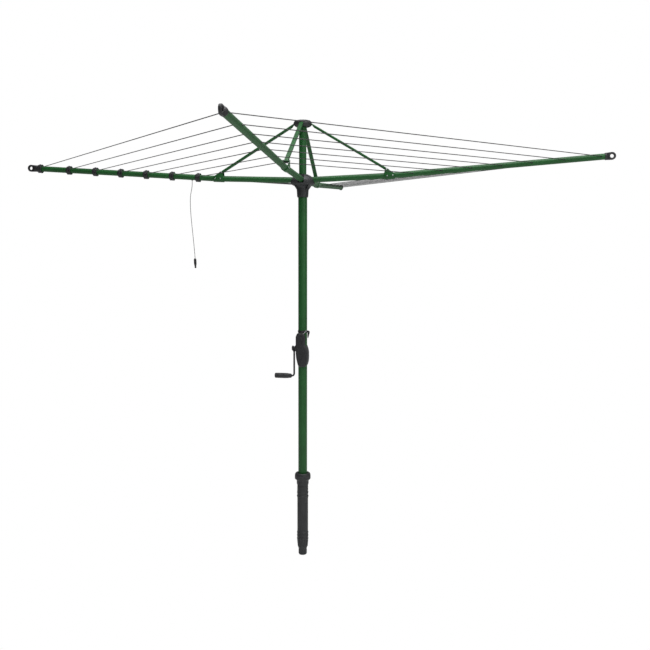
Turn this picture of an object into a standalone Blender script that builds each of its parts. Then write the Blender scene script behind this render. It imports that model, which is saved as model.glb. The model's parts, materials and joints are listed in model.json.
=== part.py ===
"""A folding rotary clothesline with a wound mast, a ground socket and seven square lines.

Metres, +Z up. The origin is on the mast's axis at the ground line, under the socket's collar.
The arms point along +X (right), -Y (front), -X (left) and +Y (back). Every moving piece is
parented to an empty on its joint's axis.
"""
import math

import bmesh
import bpy
from mathutils import Matrix, Vector

# ---- clearances -------------------------------------------------------------------------------
GAP = 0.0003                # between neighbours that touch
RUN = 0.0005                # round sliding fits
MAST_SIDES = 24             # facets of the masts and of all that fits them
ARM_SIDES = 12              # facets of the arms and of all that fits them

# ---- masts ------------------------------------------------------------------------------------
MAST_R = 0.0250             # outer mast tube
MAST_WALL = 0.0020
MAST_FOOT_Z = -0.330
MAST_TOP_Z = 1.612
BUSH_WALL = 0.0019
BUSH_LENGTH = 0.060
INNER_R = MAST_R - MAST_WALL - BUSH_WALL - 2 * GAP     # inner mast tube, which rises and spins
INNER_WALL = 0.0015

# ---- ground socket ----------------------------------------------------------------------------
SPIGOT_R = MAST_R + RUN + 0.0030        # the socket's upper rim, inside the collar's neck
SPIGOT_RISE = 0.026
SOCKET_R = SPIGOT_R + 0.0023
SOCKET_RING_R = SOCKET_R + 0.0024
SOCKET_NOSE_R = SOCKET_R - 0.0078
SOCKET_TOP_Z = -0.030
UPPER_RING_Z = -0.095
LOWER_RING_Z = MAST_FOOT_Z + 0.023      # the highest of three
LOWER_RING_PITCH = 0.018
TAPER_Z = MAST_FOOT_Z - 0.020           # where the body narrows towards the nose
NOSE_Z = MAST_FOOT_Z - 0.070
SOCKET_FOOT_Z = MAST_FOOT_Z - 0.107
NECK_R = SPIGOT_R + 0.0050
COLLAR_R = NECK_R + 0.0120
COLLAR_HEIGHT = 0.041

# ---- hub and arms -----------------------------------------------------------------------------
ARM_R = 0.0160
ARM_WALL = 0.0014
ARM_INNER_END = 0.0080      # from the pivot back to the tube's inner end
HUB_CORE_R = MAST_R + 0.0060
HUB_PIVOT_R = HUB_CORE_R + ARM_R + 0.0030
HUB_R = HUB_PIVOT_R + 0.0170
HUB_PIVOT_Z = MAST_TOP_Z + 0.0840
HUB_TOP_Z = HUB_PIVOT_Z + ARM_R + 0.0160
HUB_UNDER_Z = HUB_PIVOT_Z - ARM_R - 0.0140
SKIRT_FOOT_Z = HUB_PIVOT_Z - 0.0970
HUB_WIRE_R = 0.0030
HUB_WIRE_BEND = 0.0260
KINK_R = 0.4800             # where the arm bends up, under its saddle
INNER_SLOPE = 0.0340
OUTER_SLOPE = 0.0705
ARM_END_R = 1.6000
EYE_R = 0.0200
EYE_CENTRE_R = ARM_END_R + EYE_R + 0.0100
EYE_HOLE_R = 0.0098
EYE_WIDTH = 0.0120
CAP_WALL = 0.0025
CAP_GRIP = 0.0055

# ---- struts and crown -------------------------------------------------------------------------
STRUT_WIDTH = 0.0225
STRUT_DEPTH = 0.0135
STRUT_WALL = 0.0012
STRUT_END = 0.0085          # beyond each pivot
CROWN_CORE_R = INNER_R + 0.0060
CROWN_PIVOT_R = CROWN_CORE_R + 0.0135
CROWN_R = CROWN_PIVOT_R + 0.0115
CROWN_PIVOT_Z = HUB_PIVOT_Z + 0.3060
CROWN_FOOT_Z = CROWN_PIVOT_Z - 0.0170
CROWN_TOP_Z = CROWN_PIVOT_Z + 0.0125
CROWN_CAP_HEIGHT = 0.0085
CROWN_WIRE_R = 0.0020
CROWN_WIRE_BEND = 0.0220
INNER_TOP_Z = CROWN_TOP_Z - 0.0065
BRACKET_R = KINK_R + 0.0015             # the saddle's middle, along the arm
BRACKET_LENGTH = 0.0600
BRACKET_WALL = 0.0020
BRACKET_PLAY = 0.0008
BRACKET_PIVOT_R = KINK_R - 0.0150
BRACKET_PIVOT_RISE = ARM_R + 0.0190     # above the arm's axis
EAR_ROUND = 0.0075
PIN_R = 0.0030
PIN_HEAD_R = 0.0055
PIN_HEAD = 0.0022

# ---- lines and the fittings on the left arm ---------------------------------------------------
LINE_R = 0.0020
LINE_OUTER_R = ARM_END_R - 0.0090
LINE_INNER_R = KINK_R + 0.1430
LINE_SHARES = (0.0, 0.1890, 0.3574, 0.5186, 0.6787, 0.8399, 1.0)     # from the outer to the inner
LINE_CORNERS = [LINE_OUTER_R + (LINE_INNER_R - LINE_OUTER_R) * share for share in LINE_SHARES]
LINE_BEND = 0.0100          # bend radius inside an arm
LINE_HOLE_R = LINE_R + 0.0014
FITTING_BACK = 0.0325       # from a line's corner to the fitting's two ends
FITTING_FRONT = 0.0045
FITTING_RIM_R = ARM_R + 0.0090
FITTING_BODY_R = ARM_R + 0.0070
FITTING_NOSE_R = ARM_R + 0.0030
FITTING_RIM = 0.0070

# ---- gearbox and crank ------------------------------------------------------------------------
CRANK_Z = 0.7550
CRANK_RADIUS = 0.1580
CRANK_ROD_R = 0.0050
CRANK_BEND = 0.0135
CRANK_DISC_R = 0.0140
CRANK_NECK_R = 0.0105
CRANK_DISC = 0.0085
GRIP_LENGTH = 0.0975
GRIP_R = 0.0148
BOX_SIDE = MAST_R + 0.0010
BOX_LEFT = MAST_R + 0.0110
BOX_DEPTH = MAST_R + 0.0090
BOX_ROUND = 0.0080
BOX_FOOT_Z = CRANK_Z - 0.1040
BOX_TOP_Z = CRANK_Z + 0.0880
BOSS_END_X = -BOX_LEFT - 0.0075
BOSS_R = 0.0220
BOSS_TIP_R = 0.0150
CRANK_ROD_X = BOSS_END_X - 0.0055
CRANK_HUB_END_X = BOSS_END_X - 0.0175
PINION_HOLE_R = CRANK_ROD_R + 0.0018    # in the mast's wall
GEAR_R = 0.0150             # pitch radius of the two equal bevel gears
GEAR_FACE = 0.0050
GEAR_HEEL = 0.0035          # behind the pitch circle
GEAR_BOSS = 0.0080
GEAR_TEETH = 12
SCREW_R = 0.0070
SCREW_TOP_Z = MAST_TOP_Z - 0.1920
JOURNAL_R = 0.0040
BEARING_FOOT_Z = CRANK_Z - 0.0520
NUT_HEIGHT = 0.0400
NUT_SPIGOT = 0.0300
INNER_FOOT_Z = CRANK_Z + 0.1450
BAND_Z = BOX_TOP_Z + 0.0015
BAND_HEIGHT = 0.0120
BAND_WALL = 0.0022
LEVER_PIVOT_X = MAST_R + 0.0060
LEVER_PIVOT_Z = BAND_Z + BAND_HEIGHT / 2
LEVER_DROP = 0.0385         # from the pivot down to the lever's foot
LEVER_WIDTH = 0.0100
LEVER_PIN_R = 0.0016
LUG_HALF = 0.0020

# ---- latch and pull cord ----------------------------------------------------------------------
LATCH_Z = HUB_PIVOT_Z - 0.0660
LATCH_R = 0.0040
LATCH_HEAD_R = 0.0070
LATCH_HEAD = 0.0060
LATCH_SEAT = MAST_R + 0.0095            # from the mast's axis to the head's underside
CORD_R = 0.0015
CORD_EXIT_R = LINE_CORNERS[-1] + 0.0170
CORD_DROP = CORD_R + 0.0008             # from the arm's underside to the cord's hanging point
CORD_ROUTE = ((0.000, 0.000), (0.000, -0.014), (-0.002, -0.040), (-0.008, -0.070), (-0.012, -0.100),
              (-0.0125, -0.140), (-0.010, -0.190), (-0.006, -0.240), (-0.001, -0.290),
              (0.004, -0.340), (0.008, -0.385), (0.011, -0.420), (0.012, -0.441))
TOGGLE_LENGTH = 0.0570
TOGGLE_R = 0.0068

SIDES = (("right", 0.0), ("front", -90.0), ("left", 180.0), ("back", 90.0))


# ---- scene and materials ----------------------------------------------------------------------
def clear_scene():
    for item in list(bpy.data.objects):
        bpy.data.objects.remove(item, do_unlink=True)


def make_collection(name):
    group = bpy.data.collections.new(name)
    bpy.context.scene.collection.children.link(group)
    return group


def make_finish(name, colour, roughness, metallic=0.0):
    finish = bpy.data.materials.new(name)
    finish.use_nodes = True
    shader = finish.node_tree.nodes["Principled BSDF"]
    shader.inputs["Base Color"].default_value = (*colour, 1.0)
    shader.inputs["Roughness"].default_value = roughness
    shader.inputs["Metallic"].default_value = metallic
    return finish


clear_scene()
PARTS = make_collection("rotary_clothesline")
CUTTERS = make_collection("cutters")
GREEN = ("green_powder_coat", (0.030, 0.085, 0.040), 0.42, 0.0)
CHARCOAL = ("charcoal_nylon", (0.030, 0.032, 0.036), 0.55, 0.0)
BLACK = ("black_nylon", (0.014, 0.014, 0.016), 0.50, 0.0)
ZINC = ("zinc_plated_steel", (0.55, 0.56, 0.57), 0.35, 1.0)
CORD = ("charcoal_line", (0.035, 0.035, 0.038), 0.60, 0.0)
ACETAL = ("cream_acetal", (0.62, 0.58, 0.48), 0.45, 0.0)


# ---- modelling helpers ------------------------------------------------------------------------
def put(name, mesh, finish, home=None, place=None):
    """Make an object from a mesh. A finish makes it a part, and no finish makes it a cutter."""
    item = bpy.data.objects.new(name, mesh)
    if finish is None:
        CUTTERS.objects.link(item)
        item.hide_render = True
        item.display_type = "WIRE"
    else:
        PARTS.objects.link(item)
        mesh.materials.clear()
        mesh.materials.append(make_finish(name + "_" + finish[0], *finish[1:]))
    item.parent = home
    item.matrix_local = place or Matrix()
    return item


def make_empty(name, point, turn=0.0, home=None):
    spot = bpy.data.objects.new(name, None)
    CUTTERS.objects.link(spot)
    spot.hide_render = True
    spot.parent = home
    spot.matrix_local = Matrix.Translation(point) @ Matrix.Rotation(math.radians(turn), 4, "Z")
    return spot


def turned(name, profile, finish, steps=16, ring=True, home=None, place=None):
    """Turn a profile of (radius, height) pairs about Z. It runs down its outer side."""
    mesh = bpy.data.meshes.new(name)
    points = [(radius, 0.0, height) for radius, height in profile]
    edges = [(i, i + 1) for i in range(len(points) - 1)]
    if ring:
        edges.append((len(points) - 1, 0))
    mesh.from_pydata(points, edges, [])
    item = put(name, mesh, finish, home, place)
    screw = item.modifiers.new("turn", "SCREW")
    screw.steps = steps
    screw.render_steps = steps
    screw.use_merge_vertices = True
    screw.merge_threshold = 0.00001
    return item


def tube_profile(outer, inner, foot, top):
    return [(inner, top), (outer, top), (outer, foot), (inner, foot)]


def cylinder(name, radius, start, end, finish=None, sides=16, home=None, tip_radius=None):
    """A closed cylinder or cone between two points."""
    start = Vector(start)
    run = Vector(end) - start
    shape = bmesh.new()
    tip = radius if tip_radius is None else tip_radius
    bmesh.ops.create_cone(shape, cap_ends=True, segments=sides, radius1=radius, radius2=tip,
                          depth=run.length)
    turn = run.to_track_quat("Z", "Y").to_matrix().to_4x4()
    bmesh.ops.transform(shape, verts=shape.verts, matrix=Matrix.Translation(start + run / 2) @ turn)
    mesh = bpy.data.meshes.new(name)
    shape.to_mesh(mesh)
    shape.free()
    return put(name, mesh, finish, home)


def box(name, low, high, finish=None, home=None, place=None):
    low, high = Vector(low), Vector(high)
    shape = bmesh.new()
    bmesh.ops.create_cube(shape, size=1.0)
    bmesh.ops.scale(shape, vec=high - low, verts=shape.verts)
    bmesh.ops.translate(shape, vec=(low + high) / 2, verts=shape.verts)
    mesh = bpy.data.meshes.new(name)
    shape.to_mesh(mesh)
    shape.free()
    return put(name, mesh, finish, home, place)


def curve_mesh(curve, weld=0.00001):
    """The closed mesh of a curve whose caps are loose."""
    carrier = bpy.data.objects.new(curve.name, curve)
    CUTTERS.objects.link(carrier)
    graph = bpy.context.evaluated_depsgraph_get()
    mesh = bpy.data.meshes.new_from_object(carrier.evaluated_get(graph))
    bpy.data.objects.remove(carrier)
    shape = bmesh.new()
    shape.from_mesh(mesh)
    bmesh.ops.remove_doubles(shape, verts=shape.verts, dist=weld)
    bmesh.ops.recalc_face_normals(shape, faces=shape.faces)
    shape.to_mesh(mesh)
    shape.free()
    return mesh


def rod(name, points, radius, finish, sides=8, closed=False, home=None):
    """A round rod, tube or cord along a list of points."""
    curve = bpy.data.curves.new(name, "CURVE")
    curve.dimensions = "3D"
    curve.bevel_depth = radius
    curve.bevel_resolution = (sides - 4) // 2
    curve.use_fill_caps = not closed
    spline = curve.splines.new("POLY")
    spline.points.add(len(points) - 1)
    for knot, point in zip(spline.points, points):
        knot.co = (*point, 1.0)
    spline.use_cyclic_u = closed
    return put(name, curve_mesh(curve), finish, home)


def plate(name, outline, low, high, finish, home=None, place=None):
    """A flat outline in X and Z, extruded along Y from low to high."""
    curve = bpy.data.curves.new(name, "CURVE")
    curve.dimensions = "2D"
    curve.fill_mode = "BOTH"
    curve.extrude = (high - low) / 2
    spline = curve.splines.new("POLY")
    spline.points.add(len(outline) - 1)
    for knot, (across, up) in zip(spline.points, outline):
        knot.co = (across, up, 0.0, 1.0)
    spline.use_cyclic_u = True
    mesh = curve_mesh(curve)
    stand = Matrix.Translation((0.0, (low + high) / 2, 0.0)) @ Matrix.Rotation(math.pi / 2, 4, "X")
    mesh.transform(stand)
    return put(name, mesh, finish, home, place)


def boolean(item, operation, *tools):
    for tool in tools:
        step = item.modifiers.new(tool.name, "BOOLEAN")
        step.operation = operation
        step.object = tool
    return item


def cut(item, *tools):
    return boolean(item, "DIFFERENCE", *tools)


def fuse(item, *tools):
    return boolean(item, "UNION", *tools)


def keep(item, *tools):
    return boolean(item, "INTERSECT", *tools)


def round_edges(item, width, segments=2, angle=40.0):
    bevel = item.modifiers.new("edges", "BEVEL")
    bevel.width = width
    bevel.segments = segments
    bevel.limit_method = "ANGLE"
    bevel.angle_limit = math.radians(angle)


def arc(centre, radius, start, end, count):
    """Points on an arc in a plane, from one angle in degrees to another."""
    turns = [math.radians(start + (end - start) * i / (count - 1)) for i in range(count)]
    return [(centre[0] + radius * math.cos(a), centre[1] + radius * math.sin(a)) for a in turns]


def square_ring(half, bend, height, per_corner=4):
    """A square in a level plane, with rounded corners, half its side from the axis."""
    inner = half - bend
    points = []
    for quarter in range(4):
        turn = Matrix.Rotation(math.radians(90 * quarter), 3, "Z")
        for across, along in arc((inner, inner), bend, 0, 90, per_corner):
            points.append(turn @ Vector((across, along, height)))
    return points


def line_loop(corner, height):
    """A square line whose rounded corners lie on the four arms' axes."""
    points = []
    reach = corner - math.sqrt(2) * LINE_BEND
    for quarter in range(4):
        turn = Matrix.Rotation(math.radians(90 * quarter), 3, "Z")
        for across, along in arc((reach, 0.0), LINE_BEND, -45, 45, 3):
            points.append(turn @ Vector((across, along, height)))
    return points


def arm_height(radius):
    """Height of an arm's axis at a distance from the mast's axis."""
    inner = min(radius, KINK_R) - HUB_PIVOT_R
    outer = max(radius - KINK_R, 0.0)
    return HUB_PIVOT_Z + inner * INNER_SLOPE + outer * OUTER_SLOPE


# ---- ground socket and masts ------------------------------------------------------------------
def build_socket():
    bore = MAST_R + RUN
    rings = []
    lower = [LOWER_RING_Z - i * LOWER_RING_PITCH for i in range(3)]
    for centre in (UPPER_RING_Z, *lower):
        rings += [(SOCKET_R, centre + 0.005), (SOCKET_RING_R, centre + 0.004),
                  (SOCKET_RING_R, centre - 0.004), (SOCKET_R, centre - 0.005)]
    profile = [(0.0, MAST_FOOT_Z - RUN), (bore, MAST_FOOT_Z - RUN)]
    profile += [(bore, SOCKET_TOP_Z + SPIGOT_RISE), (SPIGOT_R - GAP, SOCKET_TOP_Z + SPIGOT_RISE)]
    profile += [(SPIGOT_R - GAP, SOCKET_TOP_Z - GAP), (SOCKET_R, SOCKET_TOP_Z - GAP)]
    profile += rings
    profile += [(SOCKET_R, TAPER_Z), (SOCKET_NOSE_R + 0.002, NOSE_Z + 0.003), (SOCKET_NOSE_R, NOSE_Z)]
    profile += [(SOCKET_NOSE_R, SOCKET_FOOT_Z + 0.003), (SOCKET_NOSE_R - 0.003, SOCKET_FOOT_Z)]
    profile += [(0.0, SOCKET_FOOT_Z)]
    turned("ground_socket", profile, CHARCOAL, MAST_SIDES, False)
    neck_bore = SPIGOT_R + GAP
    spigot_top = SOCKET_TOP_Z + SPIGOT_RISE + GAP
    profile = [(bore, COLLAR_HEIGHT), (COLLAR_R - 0.010, COLLAR_HEIGHT)]
    profile += [(COLLAR_R - 0.001, COLLAR_HEIGHT - 0.007), (COLLAR_R, COLLAR_HEIGHT - 0.010)]
    profile += [(COLLAR_R, 0.002), (COLLAR_R - 0.002, 0.0), (NECK_R, 0.0)]
    profile += [(NECK_R, SOCKET_TOP_Z), (neck_bore, SOCKET_TOP_Z), (neck_bore, spigot_top)]
    profile += [(bore, spigot_top)]
    turned("socket_collar", profile, CHARCOAL, MAST_SIDES)


def build_masts():
    bore = MAST_R - MAST_WALL
    mast = turned("outer_mast", tube_profile(MAST_R, bore, MAST_FOOT_Z, MAST_TOP_Z), GREEN,
                  MAST_SIDES)
    side_hole = cylinder("pinion_hole", PINION_HOLE_R, (-MAST_R - 0.01, 0, CRANK_Z),
                         (-bore + 0.004, 0, CRANK_Z))
    cut(mast, side_hole)
    bush = tube_profile(bore - GAP, INNER_R + GAP, MAST_TOP_Z - BUSH_LENGTH, MAST_TOP_Z)
    turned("mast_top_bush", bush, BLACK, MAST_SIDES)
    inner = tube_profile(INNER_R, INNER_R - INNER_WALL, INNER_FOOT_Z, INNER_TOP_Z)
    turned("inner_mast", inner, GREEN, MAST_SIDES)
    collar_foot = MAST_TOP_Z + 0.0025
    turned("latch_collar", tube_profile(MAST_R, INNER_R + GAP, collar_foot, HUB_TOP_Z - 0.006), BLACK,
           MAST_SIDES)


# ---- screw, gears and gearbox -----------------------------------------------------------------
def tooth_gaps(name, home, place):
    """Twelve narrow wedges that cut the teeth of a bevel gear whose apex is at the origin."""
    shape = bmesh.new()
    tilt = Matrix.Rotation(math.radians(45), 4, "Y")
    for tooth in range(GEAR_TEETH):
        made = bmesh.ops.create_cone(shape, cap_ends=True, segments=4, radius1=0.0030,
                                     radius2=0.0012, depth=GEAR_FACE * 3.2)
        lay = Matrix.Translation((0, 0, -GEAR_R * 1.30)) @ Matrix.Rotation(math.pi, 4, "X")
        spin = Matrix.Rotation(2 * math.pi * tooth / GEAR_TEETH, 4, "Z")
        bmesh.ops.transform(shape, matrix=spin @ tilt @ lay, verts=made["verts"])
    mesh = bpy.data.meshes.new(name)
    shape.to_mesh(mesh)
    shape.free()
    return put(name, mesh, None, home, place)


def bevel_profile(bore, back):
    """A bevel gear on Z with its pitch cone's apex at the origin, teeth up and back down."""
    small = GEAR_R - GEAR_FACE
    return [(bore, -small - GAP), (small, -small - GAP), (GEAR_R, -GEAR_R - GAP),
            (GEAR_R - 0.002, -GEAR_R - GEAR_HEEL), (bore + 0.003, -GEAR_R - back), (bore, -GEAR_R - back)]


def build_drive():
    centre = Matrix.Translation((0.0, 0.0, CRANK_Z))
    gear = turned("bevel_gear", bevel_profile(JOURNAL_R + GAP, GEAR_BOSS), ZINC, place=centre)
    cut(gear, tooth_gaps("gear_gaps", None, centre))
    lie = centre @ Matrix.Rotation(math.radians(90), 4, "Y")
    shaft_end = -CRANK_HUB_END_X - 0.0025
    small = GEAR_R - GEAR_FACE
    # Turning about Y sends the profile's -Z to -X, so the shaft reaches out to the crank.
    profile = [(0.0, -small - GAP), (small, -small - GAP), (GEAR_R, -GEAR_R - GAP)]
    profile += [(GEAR_R - 0.002, -GEAR_R - GEAR_HEEL), (CRANK_ROD_R, -GEAR_R - GEAR_HEEL - 0.001)]
    profile += [(CRANK_ROD_R, -shaft_end), (0.0, -shaft_end)]
    pinion = turned("bevel_pinion", profile, ZINC, ring=False, place=lie)
    half_tooth = Matrix.Rotation(math.pi / GEAR_TEETH, 4, "Z")
    cut(pinion, tooth_gaps("pinion_gaps", None, lie @ half_tooth))
    seat_top = CRANK_Z - GEAR_R - GEAR_BOSS - GAP
    bearing = tube_profile(MAST_R - MAST_WALL - GAP, JOURNAL_R + GAP, BEARING_FOOT_Z, seat_top)
    turned("screw_bearing", bearing, BLACK, MAST_SIDES)
    shoulder = CRANK_Z - small
    profile = [(0.0, SCREW_TOP_Z), (SCREW_R - 0.002, SCREW_TOP_Z), (SCREW_R, SCREW_TOP_Z - 0.002)]
    profile += [(SCREW_R, shoulder + GAP), (JOURNAL_R, shoulder + GAP), (JOURNAL_R, BEARING_FOOT_Z)]
    profile += [(0.0, BEARING_FOOT_Z)]
    turned("lift_screw", profile, ZINC, ring=False)
    spigot = INNER_R - INNER_WALL - GAP
    foot = INNER_FOOT_Z - GAP - NUT_HEIGHT
    profile = [(SCREW_R + GAP, INNER_FOOT_Z + NUT_SPIGOT), (spigot, INNER_FOOT_Z + NUT_SPIGOT)]
    profile += [(spigot, INNER_FOOT_Z - GAP), (MAST_R - MAST_WALL - GAP, INNER_FOOT_Z - GAP)]
    profile += [(MAST_R - MAST_WALL - GAP, foot), (SCREW_R + GAP, foot)]
    turned("lift_nut", profile, ACETAL, MAST_SIDES)


def box_outline():
    """The gearbox in front view: an upper left cover, and a lower bulge on the right."""
    left, side = BOX_LEFT, BOX_SIDE
    foot, waist = side - 0.006, 0.012
    return [(-side, BOX_TOP_Z), (-left, BOX_TOP_Z - 0.020), (-left, CRANK_Z - 0.018),
            (-left + 0.003, CRANK_Z - 0.052), (-side, CRANK_Z - 0.088), (-foot, BOX_FOOT_Z),
            (foot, BOX_FOOT_Z), (left - 0.005, BOX_FOOT_Z + 0.012), (left, CRANK_Z - 0.062),
            (left, CRANK_Z - 0.020), (left - 0.004, CRANK_Z), (side, CRANK_Z + 0.016),
            (waist, CRANK_Z + 0.022), (waist, BOX_TOP_Z - 0.007), (waist - 0.007, BOX_TOP_Z)]


def build_gearbox():
    reach = BOX_DEPTH + 0.010
    for name, low, high in (("gearbox_front", -reach, -GAP / 2), ("gearbox_rear", GAP / 2, reach)):
        shell = plate(name, box_outline(), -BOX_DEPTH, BOX_DEPTH, BLACK)
        boss = cylinder(name + "_boss", BOSS_R, (-BOX_LEFT + 0.006, 0, CRANK_Z), (BOSS_END_X, 0, CRANK_Z),
                        tip_radius=BOSS_TIP_R, sides=20)
        round_edges(shell, BOX_ROUND, 2)
        fuse(shell, boss)
        cut(shell, cylinder(name + "_mast", MAST_R + GAP, (0, 0, BOX_FOOT_Z - 0.01),
                            (0, 0, BOX_TOP_Z + 0.01), sides=MAST_SIDES))
        cut(shell, cylinder(name + "_shaft", CRANK_ROD_R + RUN, (BOSS_END_X - 0.02, 0, CRANK_Z),
                            (0.01 - MAST_R, 0, CRANK_Z)))
        keep(shell, box(name + "_half", (BOSS_END_X - 0.02, low, BOX_FOOT_Z - 0.02),
                        (BOX_LEFT + 0.02, high, BOX_TOP_Z + 0.02)))
    ring = tube_profile(MAST_R + GAP + BAND_WALL, MAST_R + GAP, BAND_Z, BAND_Z + BAND_HEIGHT)
    band = turned("clamp_band", ring, ZINC, MAST_SIDES)
    fuse(band, box("band_lug", (MAST_R + 0.0015, -LUG_HALF, BAND_Z + 0.0005),
                   (LEVER_PIVOT_X + 0.003, LUG_HALF, BAND_Z + BAND_HEIGHT - 0.0005)))
    fuse(band, cylinder("lug_pin", LEVER_PIN_R, (LEVER_PIVOT_X, -LEVER_WIDTH / 2, LEVER_PIVOT_Z),
                        (LEVER_PIVOT_X, LEVER_WIDTH / 2, LEVER_PIVOT_Z), sides=12))


def build_lever():
    spot = make_empty("lever_pivot", (LEVER_PIVOT_X, 0, LEVER_PIVOT_Z))
    drop = -LEVER_DROP
    inner = MAST_R + GAP + BAND_WALL + RUN - LEVER_PIVOT_X
    outline = [(0.0050, 0.0), *arc((0.0, 0.0), -inner, 60, 180, 5), (inner, -0.010)]
    outline += [(inner, drop + 0.010), (inner + 0.002, drop + 0.002), (0.0, drop), (0.0035, drop + 0.006)]
    outline += [(0.0055, drop + 0.016)]
    lever = plate("lock_lever", outline, -LEVER_WIDTH / 2, LEVER_WIDTH / 2, BLACK, spot)
    round_edges(lever, 0.0008, 1)
    slot = LUG_HALF + GAP
    cut(lever, box("lever_fork", (-0.010, -slot, -0.0085), (0.010, slot, 0.010), home=spot))
    cut(lever, cylinder("lever_hole", LEVER_PIN_R + GAP, (0, -0.01, 0), (0, 0.01, 0), sides=12, home=spot))


def build_crank():
    spot = make_empty("crank_axis", (0, 0, CRANK_Z))
    near = BOSS_END_X - GAP
    disc_near = CRANK_HUB_END_X + CRANK_DISC
    lie = Matrix.Rotation(math.radians(90), 4, "Y")
    profile = [(0.0, near), (CRANK_NECK_R, near), (CRANK_NECK_R, disc_near)]
    profile += [(CRANK_DISC_R - 0.001, disc_near), (CRANK_DISC_R, disc_near - 0.001)]
    profile += [(CRANK_DISC_R, CRANK_HUB_END_X + 0.001), (CRANK_DISC_R - 0.001, CRANK_HUB_END_X)]
    profile += [(0.0, CRANK_HUB_END_X)]
    hub = turned("crank_hub", profile, BLACK, ring=False, home=spot, place=lie)
    rod_top = -CRANK_ROD_R - 0.0010
    cut(hub, cylinder("hub_shaft", CRANK_ROD_R + GAP, (near + 0.01, 0, 0), (CRANK_HUB_END_X + 0.002, 0, 0),
                      home=spot))
    cut(hub, cylinder("hub_rod", CRANK_ROD_R + GAP, (CRANK_ROD_X, 0, -0.03), (CRANK_ROD_X, 0, rod_top + GAP),
                      home=spot))
    corner = (CRANK_ROD_X - CRANK_BEND, -CRANK_RADIUS + CRANK_BEND)
    bend = [(x, 0.0, z) for x, z in arc(corner, CRANK_BEND, 0, -90, 7)]
    grip_near = corner[0] - 0.0010
    grip_far = grip_near - GRIP_LENGTH
    route = [(CRANK_ROD_X, 0.0, rod_top), *bend, (grip_far + 0.010, 0.0, -CRANK_RADIUS)]
    rod("crank_arm", route, CRANK_ROD_R, ZINC, sides=12, home=spot)
    grip_spot = make_empty("grip_axis", (0, 0, -CRANK_RADIUS), home=spot)
    bore = CRANK_ROD_R + GAP
    profile = [(0.0, grip_far + 0.0095), (bore, grip_far + 0.0095), (bore, grip_near)]
    profile += [(GRIP_R - 0.004, grip_near), (GRIP_R - 0.001, grip_near - 0.003)]
    profile += [(GRIP_R, grip_near - 0.010), (GRIP_R - 0.0015, (grip_near + grip_far) / 2)]
    profile += [(GRIP_R, grip_far + 0.010), (GRIP_R - 0.002, grip_far + 0.003)]
    profile += [(GRIP_R - 0.006, grip_far), (0.0, grip_far)]
    turned("crank_grip", profile, BLACK, ring=False, home=grip_spot, place=lie)


# ---- hub, crown and their wire rings ----------------------------------------------------------
def build_hub():
    spot = make_empty("hub_axis", (0, 0, 0))
    bore = MAST_R + RUN
    profile = [(bore, HUB_TOP_Z), (bore + 0.009, HUB_TOP_Z), (HUB_R - 0.006, HUB_TOP_Z - 0.010)]
    profile += [(HUB_R, HUB_TOP_Z - 0.017), (HUB_R, HUB_UNDER_Z + 0.009), (HUB_R - 0.005, HUB_UNDER_Z)]
    profile += [(MAST_R + 0.0150, HUB_UNDER_Z - 0.005), (MAST_R + 0.0095, HUB_UNDER_Z - 0.013)]
    profile += [(MAST_R + 0.0075, SKIRT_FOOT_Z + 0.036), (MAST_R + 0.0050, SKIRT_FOOT_Z + 0.002)]
    profile += [(MAST_R + 0.0035, SKIRT_FOOT_Z), (bore, SKIRT_FOOT_Z)]
    hub = turned("hub_body", profile, CHARCOAL, MAST_SIDES, home=spot)
    half_slot = ARM_R + RUN
    for side, turn in SIDES:
        lay = Matrix.Rotation(math.radians(turn), 4, "Z")
        cut(hub, box("hub_slot_" + side, (HUB_CORE_R, -half_slot, HUB_PIVOT_Z - ARM_R - 0.0035),
                     (HUB_R + 0.01, half_slot, HUB_TOP_Z + 0.01), home=spot, place=lay))
    ring = square_ring(HUB_PIVOT_R, HUB_WIRE_BEND, HUB_PIVOT_Z)
    cut(hub, rod("hub_channel", ring, HUB_WIRE_R + GAP, None, 8, True, spot))
    cut(hub, cylinder("latch_hole", LATCH_R + GAP, (0, MAST_R - 0.010, LATCH_Z),
                      (0, MAST_R + 0.025, LATCH_Z), home=spot))
    rod("hub_pin_ring", ring, HUB_WIRE_R, ZINC, 8, True, spot)
    latch_spot = make_empty("latch_axis", (0, 0, LATCH_Z), home=spot)
    tip = LATCH_SEAT + LATCH_HEAD
    stand = Matrix.Rotation(math.radians(-90), 4, "X")
    profile = [(0.0, tip), (LATCH_HEAD_R - 0.001, tip), (LATCH_HEAD_R, tip - 0.001)]
    profile += [(LATCH_HEAD_R, LATCH_SEAT), (LATCH_R, LATCH_SEAT)]
    profile += [(LATCH_R, MAST_R + GAP), (0.0, MAST_R + GAP)]
    turned("hub_latch", profile, BLACK, 16, False, latch_spot, stand)


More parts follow.
